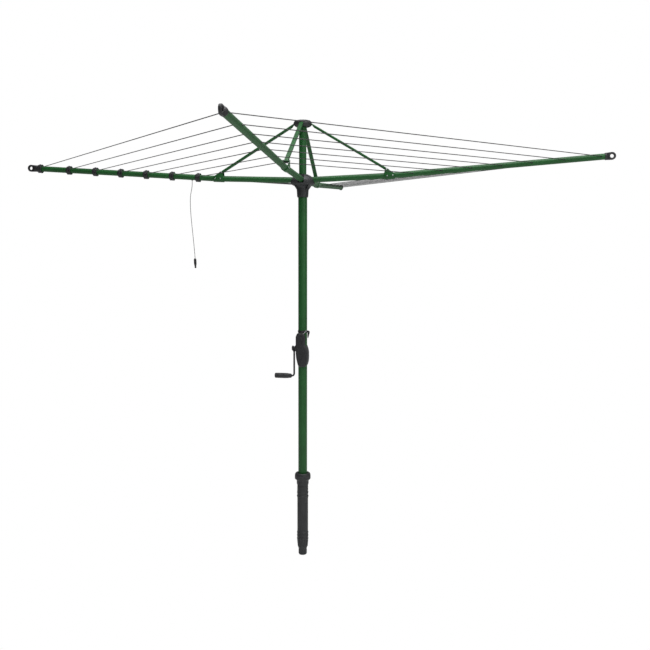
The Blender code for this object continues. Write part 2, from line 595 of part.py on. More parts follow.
def build_crown():
    bore = INNER_R + GAP
    profile = [(bore, CROWN_TOP_Z), (CROWN_R - 0.007, CROWN_TOP_Z), (CROWN_R, CROWN_TOP_Z - 0.005)]
    profile += [(CROWN_R, CROWN_TOP_Z - 0.018), (CROWN_PIVOT_R - 0.001, CROWN_FOOT_Z + 0.001)]
    profile += [(CROWN_PIVOT_R - 0.003, CROWN_FOOT_Z), (bore, CROWN_FOOT_Z)]
    crown = turned("crown_body", profile, CHARCOAL, MAST_SIDES)
    half_slot = STRUT_WIDTH / 2 + RUN
    for side, turn in SIDES:
        lay = Matrix.Rotation(math.radians(turn), 4, "Z")
        cut(crown, box("crown_slot_" + side, (CROWN_CORE_R, -half_slot, CROWN_FOOT_Z - 0.01),
                       (CROWN_R + 0.01, half_slot, CROWN_TOP_Z + 0.01), place=lay))
    ring = square_ring(CROWN_PIVOT_R, CROWN_WIRE_BEND, CROWN_PIVOT_Z)
    cut(crown, rod("crown_channel", ring, CROWN_WIRE_R + GAP, None, 8, True))
    rod("crown_pin_ring", ring, CROWN_WIRE_R, ZINC, 8, True)
    foot = CROWN_TOP_Z + GAP
    top = foot + CROWN_CAP_HEIGHT
    spigot = INNER_R - INNER_WALL - GAP
    profile = [(0.0, top), (CROWN_CORE_R - 0.008, top - 0.0005), (CROWN_CORE_R - 0.002, top - 0.003)]
    profile += [(CROWN_CORE_R, top - 0.006), (CROWN_CORE_R, foot), (spigot, foot), (spigot, foot - 0.015)]
    profile += [(0.0, foot - 0.015)]
    turned("crown_cap", profile, CHARCOAL, MAST_SIDES, False)


# ---- one arm with its cap, bracket, strut and pin ---------------------------------------------
def arm_local(radius, lift=0.0):
    """A point on the arm's axis in the hinge's frame, or a little above it."""
    return Vector((radius - HUB_PIVOT_R, 0.0, arm_height(radius) - HUB_PIVOT_Z + lift))


def line_tunnels(name, home):
    """Bent round cutters along every line's corner, as one mesh."""
    shape = bmesh.new()
    reach = 0.030
    for corner in LINE_CORNERS:
        middle = arm_local(corner)
        wing = Vector((-reach, reach, 0.0))
        other = Vector((-reach, -reach, 0.0))
        curve = bpy.data.curves.new(name, "CURVE")
        curve.dimensions = "3D"
        curve.bevel_depth = LINE_HOLE_R
        curve.bevel_resolution = 1
        curve.use_fill_caps = True
        spline = curve.splines.new("POLY")
        spline.points.add(2)
        for knot, point in zip(spline.points, (middle + wing, middle, middle + other)):
            knot.co = (*point, 1.0)
        shape.from_mesh(curve_mesh(curve))
    mesh = bpy.data.meshes.new(name)
    shape.to_mesh(mesh)
    shape.free()
    return put(name, mesh, None, home)


def bracket_outline_top():
    """The part of the ears that is cut away, in the bracket's frame: a slope towards the tip."""
    half = BRACKET_LENGTH / 2 + 0.005
    pivot = BRACKET_PIVOT_R - BRACKET_R
    crest = BRACKET_PIVOT_RISE + EAR_ROUND
    rise = 0.1
    return [(-half, 0.0150), (pivot - EAR_ROUND - 0.002, 0.0200), (pivot - EAR_ROUND, crest - 0.008),
            *[(x, z) for x, z in arc((pivot, crest - EAR_ROUND), EAR_ROUND, 180, 60, 6)],
            (half - 0.008, 0.0120), (half, 0.0100), (half, rise), (-half, rise)]


def build_bracket(side, home):
    play = ARM_R + BRACKET_PLAY
    outer = play + BRACKET_WALL
    top = BRACKET_PIVOT_RISE + EAR_ROUND + 0.002
    section = [(-outer, top), *arc((0, 0), outer, 180, 360, 9), (outer, top)]
    section += [(play, top), *arc((0, 0), play, 360, 180, 9), (-play, top)]
    tilt = math.atan((INNER_SLOPE + OUTER_SLOPE) / 2)
    place = Matrix.Translation(arm_local(BRACKET_R)) @ Matrix.Rotation(-tilt, 4, "Y")
    frame = make_empty("bracket_frame_" + side, (0, 0, 0), home=home)
    frame.matrix_local = place
    channel = plate("bracket_" + side, section, -BRACKET_LENGTH / 2, BRACKET_LENGTH / 2, GREEN, frame,
                    Matrix.Rotation(math.radians(90), 4, "Z"))
    cut(channel, plate("ear_slope_" + side, bracket_outline_top(), -0.03, 0.03, None, frame))
    pivot = arm_local(BRACKET_PIVOT_R, BRACKET_PIVOT_RISE)
    across = Vector((0, outer + 0.002, 0))
    cut(channel, cylinder("ear_hole_" + side, PIN_R + GAP, pivot - across, pivot + across, home=home))
    pin = cylinder("strut_pin_" + side, PIN_R, pivot - across, pivot + across, ZINC, 12, home)
    for sign in (-1, 1):
        face = Vector((0, sign * (outer + GAP), 0))
        end = Vector((0, sign * (outer + GAP + PIN_HEAD), 0))
        fuse(pin, cylinder("pin_head_%s_%d" % (side, sign), PIN_HEAD_R, pivot + face, pivot + end, home=home))


def strut_bar(name, finish, shrink, low, high, home):
    """A flattened tube's outer or inner shape, along X."""
    half_width = STRUT_WIDTH / 2 - shrink
    half_depth = STRUT_DEPTH / 2 - shrink
    round_off = max(0.0055 - shrink, 0.001)
    section = []
    for sign_x, sign_z, start in ((1, -1, -90), (1, 1, 0), (-1, 1, 90), (-1, -1, 180)):
        centre = (sign_x * (half_width - round_off), sign_z * (half_depth - round_off))
        section += arc(centre, round_off, start, start + 90, 3)
    return plate(name, section, low, high, finish, home, Matrix.Rotation(math.radians(-90), 4, "Z"))


def build_strut(side, home):
    """The strut's frame is on its bracket pin, with X along the strut to the crown."""
    crown = Vector((CROWN_PIVOT_R - BRACKET_PIVOT_R, 0.0,
                    CROWN_PIVOT_Z - arm_height(BRACKET_PIVOT_R) - BRACKET_PIVOT_RISE))
    spot = make_empty("strut_hinge_" + side, arm_local(BRACKET_PIVOT_R, BRACKET_PIVOT_RISE), home=home)
    frame = make_empty("strut_frame_" + side, (0, 0, 0), home=spot)
    frame.matrix_local = Matrix.Rotation(-math.atan2(crown.z, crown.x), 4, "Y")
    length = crown.length
    strut = strut_bar("strut_" + side, GREEN, 0.0, -STRUT_END, length + STRUT_END, frame)
    cut(strut, strut_bar("strut_bore_" + side, None, STRUT_WALL, -0.05, length + 0.05, frame))
    cut(strut, cylinder("strut_hole_" + side, PIN_R + GAP, (0, -0.02, 0), (0, 0.02, 0), home=frame))
    # The crown end is open below, so that it lifts off its wire. In this frame, below is +Z.
    open_side = CROWN_WIRE_R + 0.0006
    under = STRUT_DEPTH
    notch = [(length + 0.03, -open_side), (length - 0.008, -open_side), (length - 0.030, under / 2),
             (length - 0.030, under), (length + 0.03, under)]
    cut(strut, plate("strut_notch_" + side, notch, -0.02, 0.02, None, frame))


def build_arm(side, turn):
    direction = Matrix.Rotation(math.radians(turn), 3, "Z") @ Vector((HUB_PIVOT_R, 0, 0))
    home = make_empty("arm_hinge_" + side, direction + Vector((0, 0, HUB_PIVOT_Z)), turn)
    route = [arm_local(HUB_PIVOT_R - ARM_INNER_END), arm_local(KINK_R - 0.008), arm_local(KINK_R + 0.008),
             arm_local(ARM_END_R)]
    arm = rod("arm_" + side, route, ARM_R, GREEN, ARM_SIDES, home=home)
    inner = [route[0] - Vector((0.02, 0, 0.02 * INNER_SLOPE)), route[1], route[2],
             route[3] + Vector((0.02, 0, 0.02 * OUTER_SLOPE))]
    cut(arm, rod("arm_bore_" + side, inner, ARM_R - ARM_WALL, None, ARM_SIDES, home=home))
    cut(arm, cylinder("arm_pin_hole_" + side, HUB_WIRE_R + GAP, (0, -0.03, 0), (0, 0.03, 0), home=home))
    cut(arm, line_tunnels("line_tunnels_" + side, home))
    build_cap(side, home)
    build_bracket(side, home)
    build_strut(side, home)
    return home


def build_cap(side, home):
    tilt = Matrix.Rotation(-math.atan(OUTER_SLOPE), 4, "Y")
    frame = make_empty("cap_frame_" + side, (0, 0, 0), home=home)
    frame.matrix_local = Matrix.Translation(arm_local(ARM_END_R)) @ tilt
    bore = ARM_R + GAP
    rim = bore + CAP_WALL
    centre = EYE_CENTRE_R - ARM_END_R
    profile = [(0.0, 0.006), (rim - 0.004, 0.006), (rim, 0.003), (rim, -CAP_GRIP), (bore, -CAP_GRIP)]
    profile += [(bore, GAP), (0.0, GAP)]
    cap = turned("tip_cap_" + side, profile, BLACK, ARM_SIDES, False, frame,
                 Matrix.Rotation(math.pi / 2, 4, "Y"))
    half = EYE_WIDTH / 2
    neck_end = centre - EYE_HOLE_R - 0.002
    fuse(cap, box("eye_neck_" + side, (0.003, -half + 0.001, -0.0100), (neck_end, half - 0.001, 0.0100),
                  home=frame))
    fuse(cap, cylinder("eye_" + side, EYE_R, (centre, -half, 0), (centre, half, 0), sides=16, home=frame))
    cut(cap, cylinder("eye_hole_" + side, EYE_HOLE_R, (centre, -0.02, 0), (centre, 0.02, 0), sides=12,
                      home=frame))


# ---- lines, fittings and the pull cord --------------------------------------------------------
def build_lines():
    for number, corner in enumerate(LINE_CORNERS, 1):
        rod("line_%d" % number, line_loop(corner, arm_height(corner)), LINE_R, CORD, 8, True)


def build_fittings(home):
    tilt = Matrix.Rotation(-math.atan(OUTER_SLOPE), 4, "Y") @ Matrix.Rotation(math.pi / 2, 4, "Y")
    tunnels = line_tunnels("fitting_tunnels", home)
    bore = ARM_R + GAP
    for number, corner in enumerate(LINE_CORNERS, 1):
        place = Matrix.Translation(arm_local(corner)) @ tilt
        rim_end = -FITTING_BACK + FITTING_RIM
        profile = [(bore, -FITTING_FRONT), (FITTING_NOSE_R, -FITTING_FRONT)]
        profile += [(FITTING_BODY_R, -FITTING_FRONT - 0.006), (FITTING_BODY_R, rim_end + 0.001)]
        profile += [(FITTING_RIM_R, rim_end), (FITTING_RIM_R, -FITTING_BACK + 0.001)]
        profile += [(FITTING_RIM_R - 0.001, -FITTING_BACK), (bore, -FITTING_BACK)]
        cut(turned("line_collar_%d" % number, profile, BLACK, ARM_SIDES, home=home, place=place), tunnels)


def build_pull_cord(home):
    """The cord hangs under the left arm. Its frame's X points to the tip, so +X in the route is -X."""
    exit_point = arm_local(CORD_EXIT_R) - Vector((0, 0, ARM_R + CORD_DROP))
    spot = make_empty("cord_hinge", exit_point, home=home)
    route = [Vector((-across, 0.0, down)) for across, down in CORD_ROUTE]
    rod("pull_cord", smooth(route, 26), CORD_R, CORD, 8, home=spot)
    end = route[-1]
    lean = (route[-1] - route[-2]).normalized()
    top = end + lean * GAP
    foot = top + lean * TOGGLE_LENGTH
    toggle = cylinder("cord_toggle", TOGGLE_R, top, foot, BLACK, 16, spot)
    round_edges(toggle, 0.0020, 2)


def smooth(points, count):
    """Points on a smooth curve through the given ones, at even steps of its parameter."""
    padded = [points[0] * 2 - points[1], *points, points[-1] * 2 - points[-2]]
    out = []
    for step in range(count):
        spot = step / (count - 1) * (len(points) - 1)
        index = min(int(spot), len(points) - 2)
        t = spot - index
        a, b, c, d = padded[index:index + 4]
        out.append(0.5 * (2 * b + (c - a) * t + (2 * a - 5 * b + 4 * c - d) * t * t
                          + (3 * b - a - 3 * c + d) * t * t * t))
    return out


def main():
    build_socket()
    build_masts()
    build_drive()
    build_gearbox()
    build_lever()
    build_crank()
    build_hub()
    build_crown()
    hinges = {side: build_arm(side, turn) for side, turn in SIDES}
    build_lines()
    build_fittings(hinges["left"])
    build_pull_cord(hinges["left"])


main()
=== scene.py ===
"""Looks of a folding rotary clothesline: powder-coated tubes, moulded nylon fittings, PVC lines."""

import json
import math

import bmesh
import bpy
from mathutils import Matrix, Vector


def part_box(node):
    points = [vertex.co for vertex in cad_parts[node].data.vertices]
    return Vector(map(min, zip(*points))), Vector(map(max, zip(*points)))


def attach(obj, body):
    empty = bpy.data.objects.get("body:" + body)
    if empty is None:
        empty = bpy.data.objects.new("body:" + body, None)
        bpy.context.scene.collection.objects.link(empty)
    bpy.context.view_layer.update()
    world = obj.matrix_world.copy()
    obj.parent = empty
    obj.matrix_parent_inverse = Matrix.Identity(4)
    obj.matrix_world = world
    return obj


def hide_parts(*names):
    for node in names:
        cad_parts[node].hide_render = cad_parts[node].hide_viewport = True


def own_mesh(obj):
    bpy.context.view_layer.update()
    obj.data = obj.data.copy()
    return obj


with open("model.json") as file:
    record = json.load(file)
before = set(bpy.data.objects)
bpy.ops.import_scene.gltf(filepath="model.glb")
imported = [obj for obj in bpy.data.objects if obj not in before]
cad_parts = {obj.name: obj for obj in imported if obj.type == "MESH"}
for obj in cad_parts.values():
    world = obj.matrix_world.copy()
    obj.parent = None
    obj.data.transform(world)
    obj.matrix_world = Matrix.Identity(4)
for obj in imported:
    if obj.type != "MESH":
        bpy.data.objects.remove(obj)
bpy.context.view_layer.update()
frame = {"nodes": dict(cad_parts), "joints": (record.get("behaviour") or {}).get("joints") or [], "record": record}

# ---- sizes, read from the frame where it has them ---------------------------------------------
PIVOTS = {joint["name"]: Vector(joint["pos_m"]) for joint in frame["joints"] if joint.get("pos_m")}
SIDES = (("right", 0.0), ("front", -90.0), ("left", 180.0), ("back", 90.0))
HUB_PIVOT_R = PIVOTS["arm_right_fold"].x
HUB_PIVOT_Z = PIVOTS["arm_right_fold"].z
STRUT_FOOT = PIVOTS["strut_right_fold"]
CRANK_Z = PIVOTS["crank_turn"].z
GRIP_Z = PIVOTS["grip_spin"].z
LEVER = PIVOTS["lever_swing"]
MAST_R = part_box("outer_mast")[1][0]
MAST_FOOT, MAST_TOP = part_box("outer_mast")[0][2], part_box("outer_mast")[1][2]
INNER_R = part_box("inner_mast")[1][0]
INNER_FOOT, INNER_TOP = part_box("inner_mast")[0][2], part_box("inner_mast")[1][2]
SOCKET_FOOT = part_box("ground_socket")[0][2]
COLLAR_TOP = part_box("socket_collar")[1][2]
EYE_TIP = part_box("tip_cap_right")[1][0]
ARM_R = 0.016
ARM_WALL = 0.0014
MAST_WALL = 0.0020
INNER_WALL = 0.0015
KINK_R = 0.480
KINK_REACH = 0.020                      # each way from the kink, where the tube bends
SADDLE_R = 0.4815
STRUT_HALF_WIDTH = 0.01125
INNER_SLOPE = 0.0340
OUTER_SLOPE = 0.0705
ARM_END = 1.600
EYE_R = 0.020
EYE_HOLE_R = 0.0098
CROWN_PIVOT = Vector((0.040, 0.0, 2.002))
LINE_R = 0.0020
LINE_BEND = 0.010
LINE_CORNERS = [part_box("line_%d" % number)[1][0] - LINE_R + (math.sqrt(2) - 1) * LINE_BEND
                for number in range(1, 8)]
GAP = 0.0003                            # between neighbours that touch
RUN = 0.0005                            # round sliding fits
SHARP_ANGLE = 32.0
WELD = 1e-6
CORD_EXIT_R = 0.640
CORD_R = 0.0015
CORD_DROP = CORD_R + 0.0008
CORD_ROUTE = ((0.000, 0.000), (0.000, -0.014), (-0.002, -0.040), (-0.008, -0.070), (-0.012, -0.100),
              (-0.0125, -0.140), (-0.010, -0.190), (-0.006, -0.240), (-0.001, -0.290),
              (0.004, -0.340), (0.008, -0.385), (0.011, -0.420), (0.012, -0.441))


# ---- finishes ---------------------------------------------------------------------------------
def linear(code):
    """An sRGB hex colour as linear red, green, blue and alpha."""
    parts = [int(code[i:i + 2], 16) / 255 for i in (1, 3, 5)]
    return (*[c / 12.92 if c <= 0.04045 else ((c + 0.055) / 1.055) ** 2.4 for c in parts], 1.0)


def add(tree, kind, settings=(), links=()):
    """A node with its settings and its incoming links."""
    node = tree.nodes.new(kind)
    for key, value in dict(settings).items():
        if key in node.inputs:
            node.inputs[key].default_value = value
        else:
            setattr(node, key, value)
    for key, source in dict(links).items():
        tree.links.new(source, node.inputs[key])
    return node


def finish_shader(name, roughness, metallic=0.0, ior=1.5):
    surface = bpy.data.materials.new(name)
    surface.use_nodes = True
    tree = surface.node_tree
    shader = tree.nodes["Principled BSDF"]
    shader.inputs["Roughness"].default_value = roughness
    shader.inputs["Metallic"].default_value = metallic
    if not metallic:
        shader.inputs["IOR"].default_value = ior
    return surface, tree, shader


def speckle(tree, size, detail=3.0):
    """Noise whose cells are about the given size in metres, on the piece's own place."""
    place = add(tree, "ShaderNodeTexCoord")
    return add(tree, "ShaderNodeTexNoise", {"Scale": 1.0 / size, "Detail": detail, "Roughness": 0.55},
               {"Vector": place.outputs["Object"]})


def shade_between(tree, factor, dark, light, low=0.3, high=0.7):
    """A colour between two, by a factor that runs from low to high."""
    ramp = add(tree, "ShaderNodeValToRGB", links={"Fac": factor})
    ramp.color_ramp.elements[0].position = low
    ramp.color_ramp.elements[1].position = high
    ramp.color_ramp.elements[0].color = linear(dark)
    ramp.color_ramp.elements[1].color = linear(light)
    return ramp.outputs["Color"]


def vary(tree, shader, factor, socket, low, high):
    spread = add(tree, "ShaderNodeMapRange", {"To Min": low, "To Max": high}, {"Value": factor})
    tree.links.new(spread.outputs["Result"], shader.inputs[socket])


def raise_grain(tree, shader, height, distance, strength=1.0):
    grain = add(tree, "ShaderNodeBump", {"Distance": distance, "Strength": strength}, {"Height": height})
    tree.links.new(grain.outputs["Normal"], shader.inputs["Normal"])


def powder_coat():
    """Polyester powder coat on steel: satin, with a faint orange peel about 2 mm across."""
    surface, tree, shader = finish_shader("green_powder_coat", 0.48)
    cloud = speckle(tree, 0.12)
    tree.links.new(shade_between(tree, cloud.outputs["Fac"], "#154B1E", "#1A5926"),
                   shader.inputs["Base Color"])
    peel = speckle(tree, 0.0022, 2.0)
    vary(tree, shader, peel.outputs["Fac"], "Roughness", 0.45, 0.51)
    raise_grain(tree, shader, peel.outputs["Fac"], 0.00004, 0.5)
    shader.inputs["Specular IOR Level"].default_value = 0.36
    return surface


def moulded_nylon(name, dark, light, rough):
    """Glass-filled nylon from a spark-eroded tool: matt, with a grain drawn a little coarse to show."""
    surface, tree, shader = finish_shader(name, rough, ior=1.53)
    cloud = speckle(tree, 0.030)
    tree.links.new(shade_between(tree, cloud.outputs["Fac"], dark, light), shader.inputs["Base Color"])
    grain = speckle(tree, 0.0009, 2.0)
    vary(tree, shader, grain.outputs["Fac"], "Roughness", rough - 0.06, rough + 0.08)
    raise_grain(tree, shader, grain.outputs["Fac"], 0.00010, 0.6)
    return surface


def plated_steel(name, dark, light, rough):
    """Zinc-plated or blackened steel: a metal with fine drawn streaks and uneven gloss."""
    surface, tree, shader = finish_shader(name, rough, 1.0)
    cloud = speckle(tree, 0.010)
    tree.links.new(shade_between(tree, cloud.outputs["Fac"], dark, light), shader.inputs["Base Color"])
    streak = speckle(tree, 0.0012, 4.0)
    vary(tree, shader, streak.outputs["Fac"], "Roughness", rough - 0.08, rough + 0.10)
    return surface


def coated_line():
    """PVC-sheathed line: smooth and slightly glossy, with the core's lay showing through."""
    surface, tree, shader = finish_shader("pvc_line", 0.42, ior=1.53)
    cloud = speckle(tree, 0.020)
    tree.links.new(shade_between(tree, cloud.outputs["Fac"], "#0C0D0E", "#131415"),
                   shader.inputs["Base Color"])
    lay = speckle(tree, 0.0025, 1.0)
    raise_grain(tree, shader, lay.outputs["Fac"], 0.0002, 0.5)
    return surface


def braided_cord():
    """Braided polyester: dark grey, matt, with a 1.5 mm plait."""
    surface, tree, shader = finish_shader("braided_cord", 0.80)
    place = add(tree, "ShaderNodeTexCoord")
    plait = add(tree, "ShaderNodeTexVoronoi", {"Scale": 1.0 / 0.0015}, {"Vector": place.outputs["Object"]})
    tree.links.new(shade_between(tree, plait.outputs["Distance"], "#3A3A39", "#292928", 0.1, 0.8),
                   shader.inputs["Base Color"])
    raise_grain(tree, shader, plait.outputs["Distance"], 0.0004, 0.7)
    return surface


GREEN = powder_coat()
CHARCOAL = moulded_nylon("charcoal_nylon", "#1F2123", "#27292B", 0.54)
BLACK = moulded_nylon("black_nylon", "#181A1C", "#202224", 0.52)
JET = moulded_nylon("jet_nylon", "#0E0E10", "#151517", 0.40)
ZINC = plated_steel("zinc_steel", "#A8AAAC", "#C4C6C8", 0.34)
DARK_STEEL = plated_steel("blackened_steel", "#3A3A3C", "#4A4A4C", 0.42)
ACETAL = moulded_nylon("cream_acetal", "#CFC6AE", "#DAD2BC", 0.42)
LINE = coated_line()
BRAID = braided_cord()
KEPT = {"green_powder_coat": GREEN, "charcoal_nylon": CHARCOAL, "black_nylon": BLACK, "zinc_steel": ZINC,
        "dark_steel": DARK_STEEL, "acetal": ACETAL, "pvc_line": LINE, "pull_cord": BRAID}


# ---- forms ------------------------------------------------------------------------------------
def soften(outline, radius, steps=3, closed=False):
    """An outline with its corners rounded. Short sides take a smaller radius."""
    points = [Vector(point) for point in outline]
    count = len(points)
    out = [] if closed else [tuple(points[0])]
    for i in range(0 if closed else 1, count if closed else count - 1):
        before, corner, after = points[i - 1], points[i], points[(i + 1) % count]
        back, on = before - corner, after - corner
        reach = min(radius, back.length / 2.1, on.length / 2.1)
        start, end = corner + back.normalized() * reach, corner + on.normalized() * reach
        for step in range(steps + 1):
            t = step / steps
            out.append(tuple(start.lerp(corner, t).lerp(corner.lerp(end, t), t)))
    if not closed:
        out.append(tuple(points[-1]))
    return out


def arc(centre, radius, start, end, count):
    turns = [math.radians(start + (end - start) * i / (count - 1)) for i in range(count)]
    return [(centre[0] + radius * math.cos(a), centre[1] + radius * math.sin(a)) for a in turns]


def lathe(outline, steps=48, closed=False):
    """Spin a (radius, height) outline about Z."""
    form = bmesh.new()
    spots = [form.verts.new((radius, 0.0, height)) for radius, height in outline]
    edges = [form.edges.new(pair) for pair in zip(spots, spots[1:])]
    if closed:
        edges.append(form.edges.new((spots[-1], spots[0])))
    bmesh.ops.spin(form, geom=spots + edges, cent=(0, 0, 0), axis=(0, 0, 1), dvec=(0, 0, 0),
                   angle=2 * math.pi, steps=steps, use_merge=True)
    bmesh.ops.remove_doubles(form, verts=form.verts, dist=WELD)
    bmesh.ops.recalc_face_normals(form, faces=form.faces)
    return form


def drum(radius, depth, bevel=0.0, sides=32):
    """A closed cylinder on Z, centred, with its rims bevelled."""
    form = bmesh.new()
    bmesh.ops.create_cone(form, cap_ends=True, segments=sides, radius1=radius, radius2=radius, depth=depth)
    if bevel:
        rims = [edge for edge in form.edges if abs(edge.verts[0].co.z - edge.verts[1].co.z) < 1e-7]
        bmesh.ops.bevel(form, geom=rims, offset=bevel, segments=3, profile=0.5, affect="EDGES", material=-1)
    return form


def block(size, bevel=0.0, segments=2):
    form = bmesh.new()
    bmesh.ops.create_cube(form, size=1.0)
    bmesh.ops.scale(form, vec=size, verts=form.verts)
    if bevel:
        bmesh.ops.bevel(form, geom=form.edges[:], offset=bevel, segments=segments, profile=0.5,
                        affect="EDGES", material=-1)
    return form


def slab(outline, low, high):
    """A flat outline in X and Z, extruded along Y."""
    form = bmesh.new()
    face = form.faces.new([form.verts.new((across, low, up)) for across, up in outline])
    grown = bmesh.ops.extrude_face_region(form, geom=[face])["geom"]
    bmesh.ops.translate(form, vec=(0, high - low, 0),
                        verts=[item for item in grown if isinstance(item, bmesh.types.BMVert)])
    bmesh.ops.recalc_face_normals(form, faces=form.faces)
    return form


def path_frames(points):
    """A frame at each point, with Z along the path and as little twist as can be."""
    points = [Vector(point) for point in points]
    runs = []
    for i, point in enumerate(points):
        before = points[i - 1] if i else point
        after = points[i + 1] if i < len(points) - 1 else point
        runs.append((after - before).normalized())
    side = runs[0].orthogonal().normalized()
    frames = []
    for point, run in zip(points, runs):
        side = (side - run * side.dot(run)).normalized()
        turn = Matrix((side, run.cross(side), run)).transposed().to_4x4()
        frames.append(Matrix.Translation(point) @ turn)
    return frames


def sweep(points, radius, sides=16):
    """A round bar or cord with closed ends: a disc drawn along a path."""
    form = bmesh.new()
    frames = path_frames(points)
    bmesh.ops.create_circle(form, segments=sides, radius=radius, cap_ends=True)
    moved(form, frames[0])
    lead = form.faces[:]
    for here, there in zip(frames, frames[1:]):
        grown = bmesh.ops.extrude_face_region(form, geom=lead)["geom"]
        lead = [item for item in grown if isinstance(item, bmesh.types.BMFace)]
        spots = [item for item in grown if isinstance(item, bmesh.types.BMVert)]
        bmesh.ops.transform(form, matrix=there @ here.inverted(), verts=spots)
    bmesh.ops.recalc_face_normals(form, faces=form.faces)
    return form


def hollow_sweep(points, radius, wall, sides=40):
    """A round tube with open ends: a circle drawn along a path and given a wall."""
    form = bmesh.new()
    frames = path_frames(points)
    bmesh.ops.create_circle(form, segments=sides, radius=radius)
    moved(form, frames[0])
    lead = form.edges[:]
    for here, there in zip(frames, frames[1:]):
        grown = bmesh.ops.extrude_edge_only(form, edges=lead)["geom"]
        spots = [item for item in grown if isinstance(item, bmesh.types.BMVert)]
        found = set(spots)
        lead = [edge for edge in form.edges if edge.verts[0] in found and edge.verts[1] in found]
        bmesh.ops.transform(form, matrix=there @ here.inverted(), verts=spots)
    bmesh.ops.recalc_face_normals(form, faces=form.faces)
    bmesh.ops.solidify(form, geom=form.faces[:], thickness=wall)
    bmesh.ops.recalc_face_normals(form, faces=form.faces)
    return form


def bead(major, minor, width):
    """A raised bead about Z: a torus whose section is an oval of that width on Z."""
    stretch = width / (2 * minor)
    section = [(major + x, z * stretch) for x, z in arc((0, 0), minor, 0, -360, 13)[:-1]]
    return lathe(section, 72, closed=True)


def moved(form, place):
    bmesh.ops.transform(form, matrix=place, verts=form.verts)
    return form


def joined(*pieces):
    """One form made of several, each a form or a (form, place) pair."""
    whole = bmesh.new()
    for item in pieces:
        form, place = item if isinstance(item, tuple) else (item, Matrix())
        moved(form, place)
        carrier = bpy.data.meshes.new("carrier")
        form.to_mesh(carrier)
        form.free()
        whole.from_mesh(carrier)
        bpy.data.meshes.remove(carrier)
    return whole


def carved(form, *tools, operation="DIFFERENCE", edge=0.0, segments=2):
    """A form cut by other forms, with the sharp edges eased."""
    def holder(shape):
        mesh = bpy.data.meshes.new("holder")
        shape.to_mesh(mesh)
        shape.free()
        item = bpy.data.objects.new("holder", mesh)
        bpy.context.scene.collection.objects.link(item)
        return item

    body, cutters = holder(form), [holder(tool) for tool in tools]
    for cutter in cutters:
        step = body.modifiers.new("cut", "BOOLEAN")
        step.operation = operation
        step.object = cutter
    if edge:
        ease = body.modifiers.new("edge", "BEVEL")
        ease.width = edge
        ease.segments = segments
        ease.limit_method = "ANGLE"
        ease.angle_limit = math.radians(38)
    graph = bpy.context.evaluated_depsgraph_get()
    mesh = bpy.data.meshes.new_from_object(body.evaluated_get(graph))
    out = bmesh.new()
    out.from_mesh(mesh)
    bmesh.ops.remove_doubles(out, verts=out.verts, dist=WELD)
    for item in (body, *cutters):
        bpy.data.objects.remove(item, do_unlink=True)
    bpy.data.meshes.remove(mesh)
    return out


def rippled(form, ease, inside):
    """Draws a turned form's surface in by a factor that depends on the angle, where inside says so."""
    for spot in form.verts:
        reach = math.hypot(spot.co.x, spot.co.y)
        if inside(reach, spot.co.z):
            factor = ease(math.atan2(spot.co.y, spot.co.x))
            spot.co.x *= factor
            spot.co.y *= factor
    return form


def shift(x=0.0, y=0.0, z=0.0):
    return Matrix.Translation((x, y, z))


def turn(degrees, axis="Z"):
    return Matrix.Rotation(math.radians(degrees), 4, axis)


def finish_piece(name, form, surface, body, stands_for=(), place=None):
    """A finished piece: its mesh in place, its finish, its body and the nodes it stands for."""
    if place is not None:
        moved(form, place)
    mesh = bpy.data.meshes.new(name)
    form.to_mesh(mesh)
    form.free()
    mesh.materials.append(surface)
    mesh.shade_smooth()
    mesh.set_sharp_from_angle(angle=math.radians(SHARP_ANGLE))
    piece = bpy.data.objects.new(name, mesh)
    bpy.context.scene.collection.objects.link(piece)
    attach(piece, body)
    if stands_for:
        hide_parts(*stands_for)
    return piece


# ---- ground socket and its collar -------------------------------------------------------------
def make_socket():
    """The buried socket: rings near its head and foot, a ribbed taper and a blunt nose."""
    body_r, nose_r = 0.0308, 0.0228
    foot = SOCKET_FOOT
    outline = [(0.0, MAST_FOOT - 0.0005), (MAST_R + RUN, MAST_FOOT - 0.0005), (MAST_R + RUN, -0.004)]
    outline += [(0.0282, -0.004), (0.0282, -0.0303), (body_r, -0.0303)]
    threads = [(-0.040 - 0.0055 * i, 0.0006, 0.0010) for i in range(5)]
    bands = [(-0.073, 0.0018, 0.0028), (-0.0835, 0.0006, 0.0010), (-0.095, 0.0024, 0.0032),
             (-0.1065, 0.0006, 0.0010)]
    lower = [(-0.307 - 0.0090 * i, 0.0022 if i % 2 == 0 else 0.0008, 0.0026) for i in range(5)]
    for centre, proud, half in (*threads, *bands, *lower):
        outline += [(body_r, centre + half + 0.0012), (body_r + proud, centre + half),
                    (body_r + proud, centre - half), (body_r, centre - half - 0.0012)]
    outline += [(body_r - 0.0005, -0.352), (body_r - 0.0040, -0.390), (nose_r + 0.0020, -0.398)]
    outline += [(nose_r, -0.404), (nose_r, foot + 0.003), (nose_r - 0.003, foot), (0.0, foot)]
    shell = lathe(soften(outline, 0.0014), 72)
    fins = []
    for number in range(12):
        fin = block((0.0030, 0.0026, 0.040), 0.0008)
        fins.append((fin, turn(30 * number) @ shift(body_r - 0.0016, 0, -0.370) @ turn(5.0, "Y")))
    for number in range(8):
        rib = block((0.0022, 0.0036, 0.026), 0.0009)
        fins.append((rib, turn(45 * number) @ shift(nose_r + 0.0002, 0, -0.4185)))
    for number in range(4):
        keyway = block((0.0026, 0.0060, 0.150), 0.0009)
        fins.append((keyway, turn(45 + 90 * number) @ shift(body_r - 0.0004, 0, -0.205)))
    finish_piece("socket_body", joined(shell, *fins), CHARCOAL, "ground_socket", ("ground_socket",))


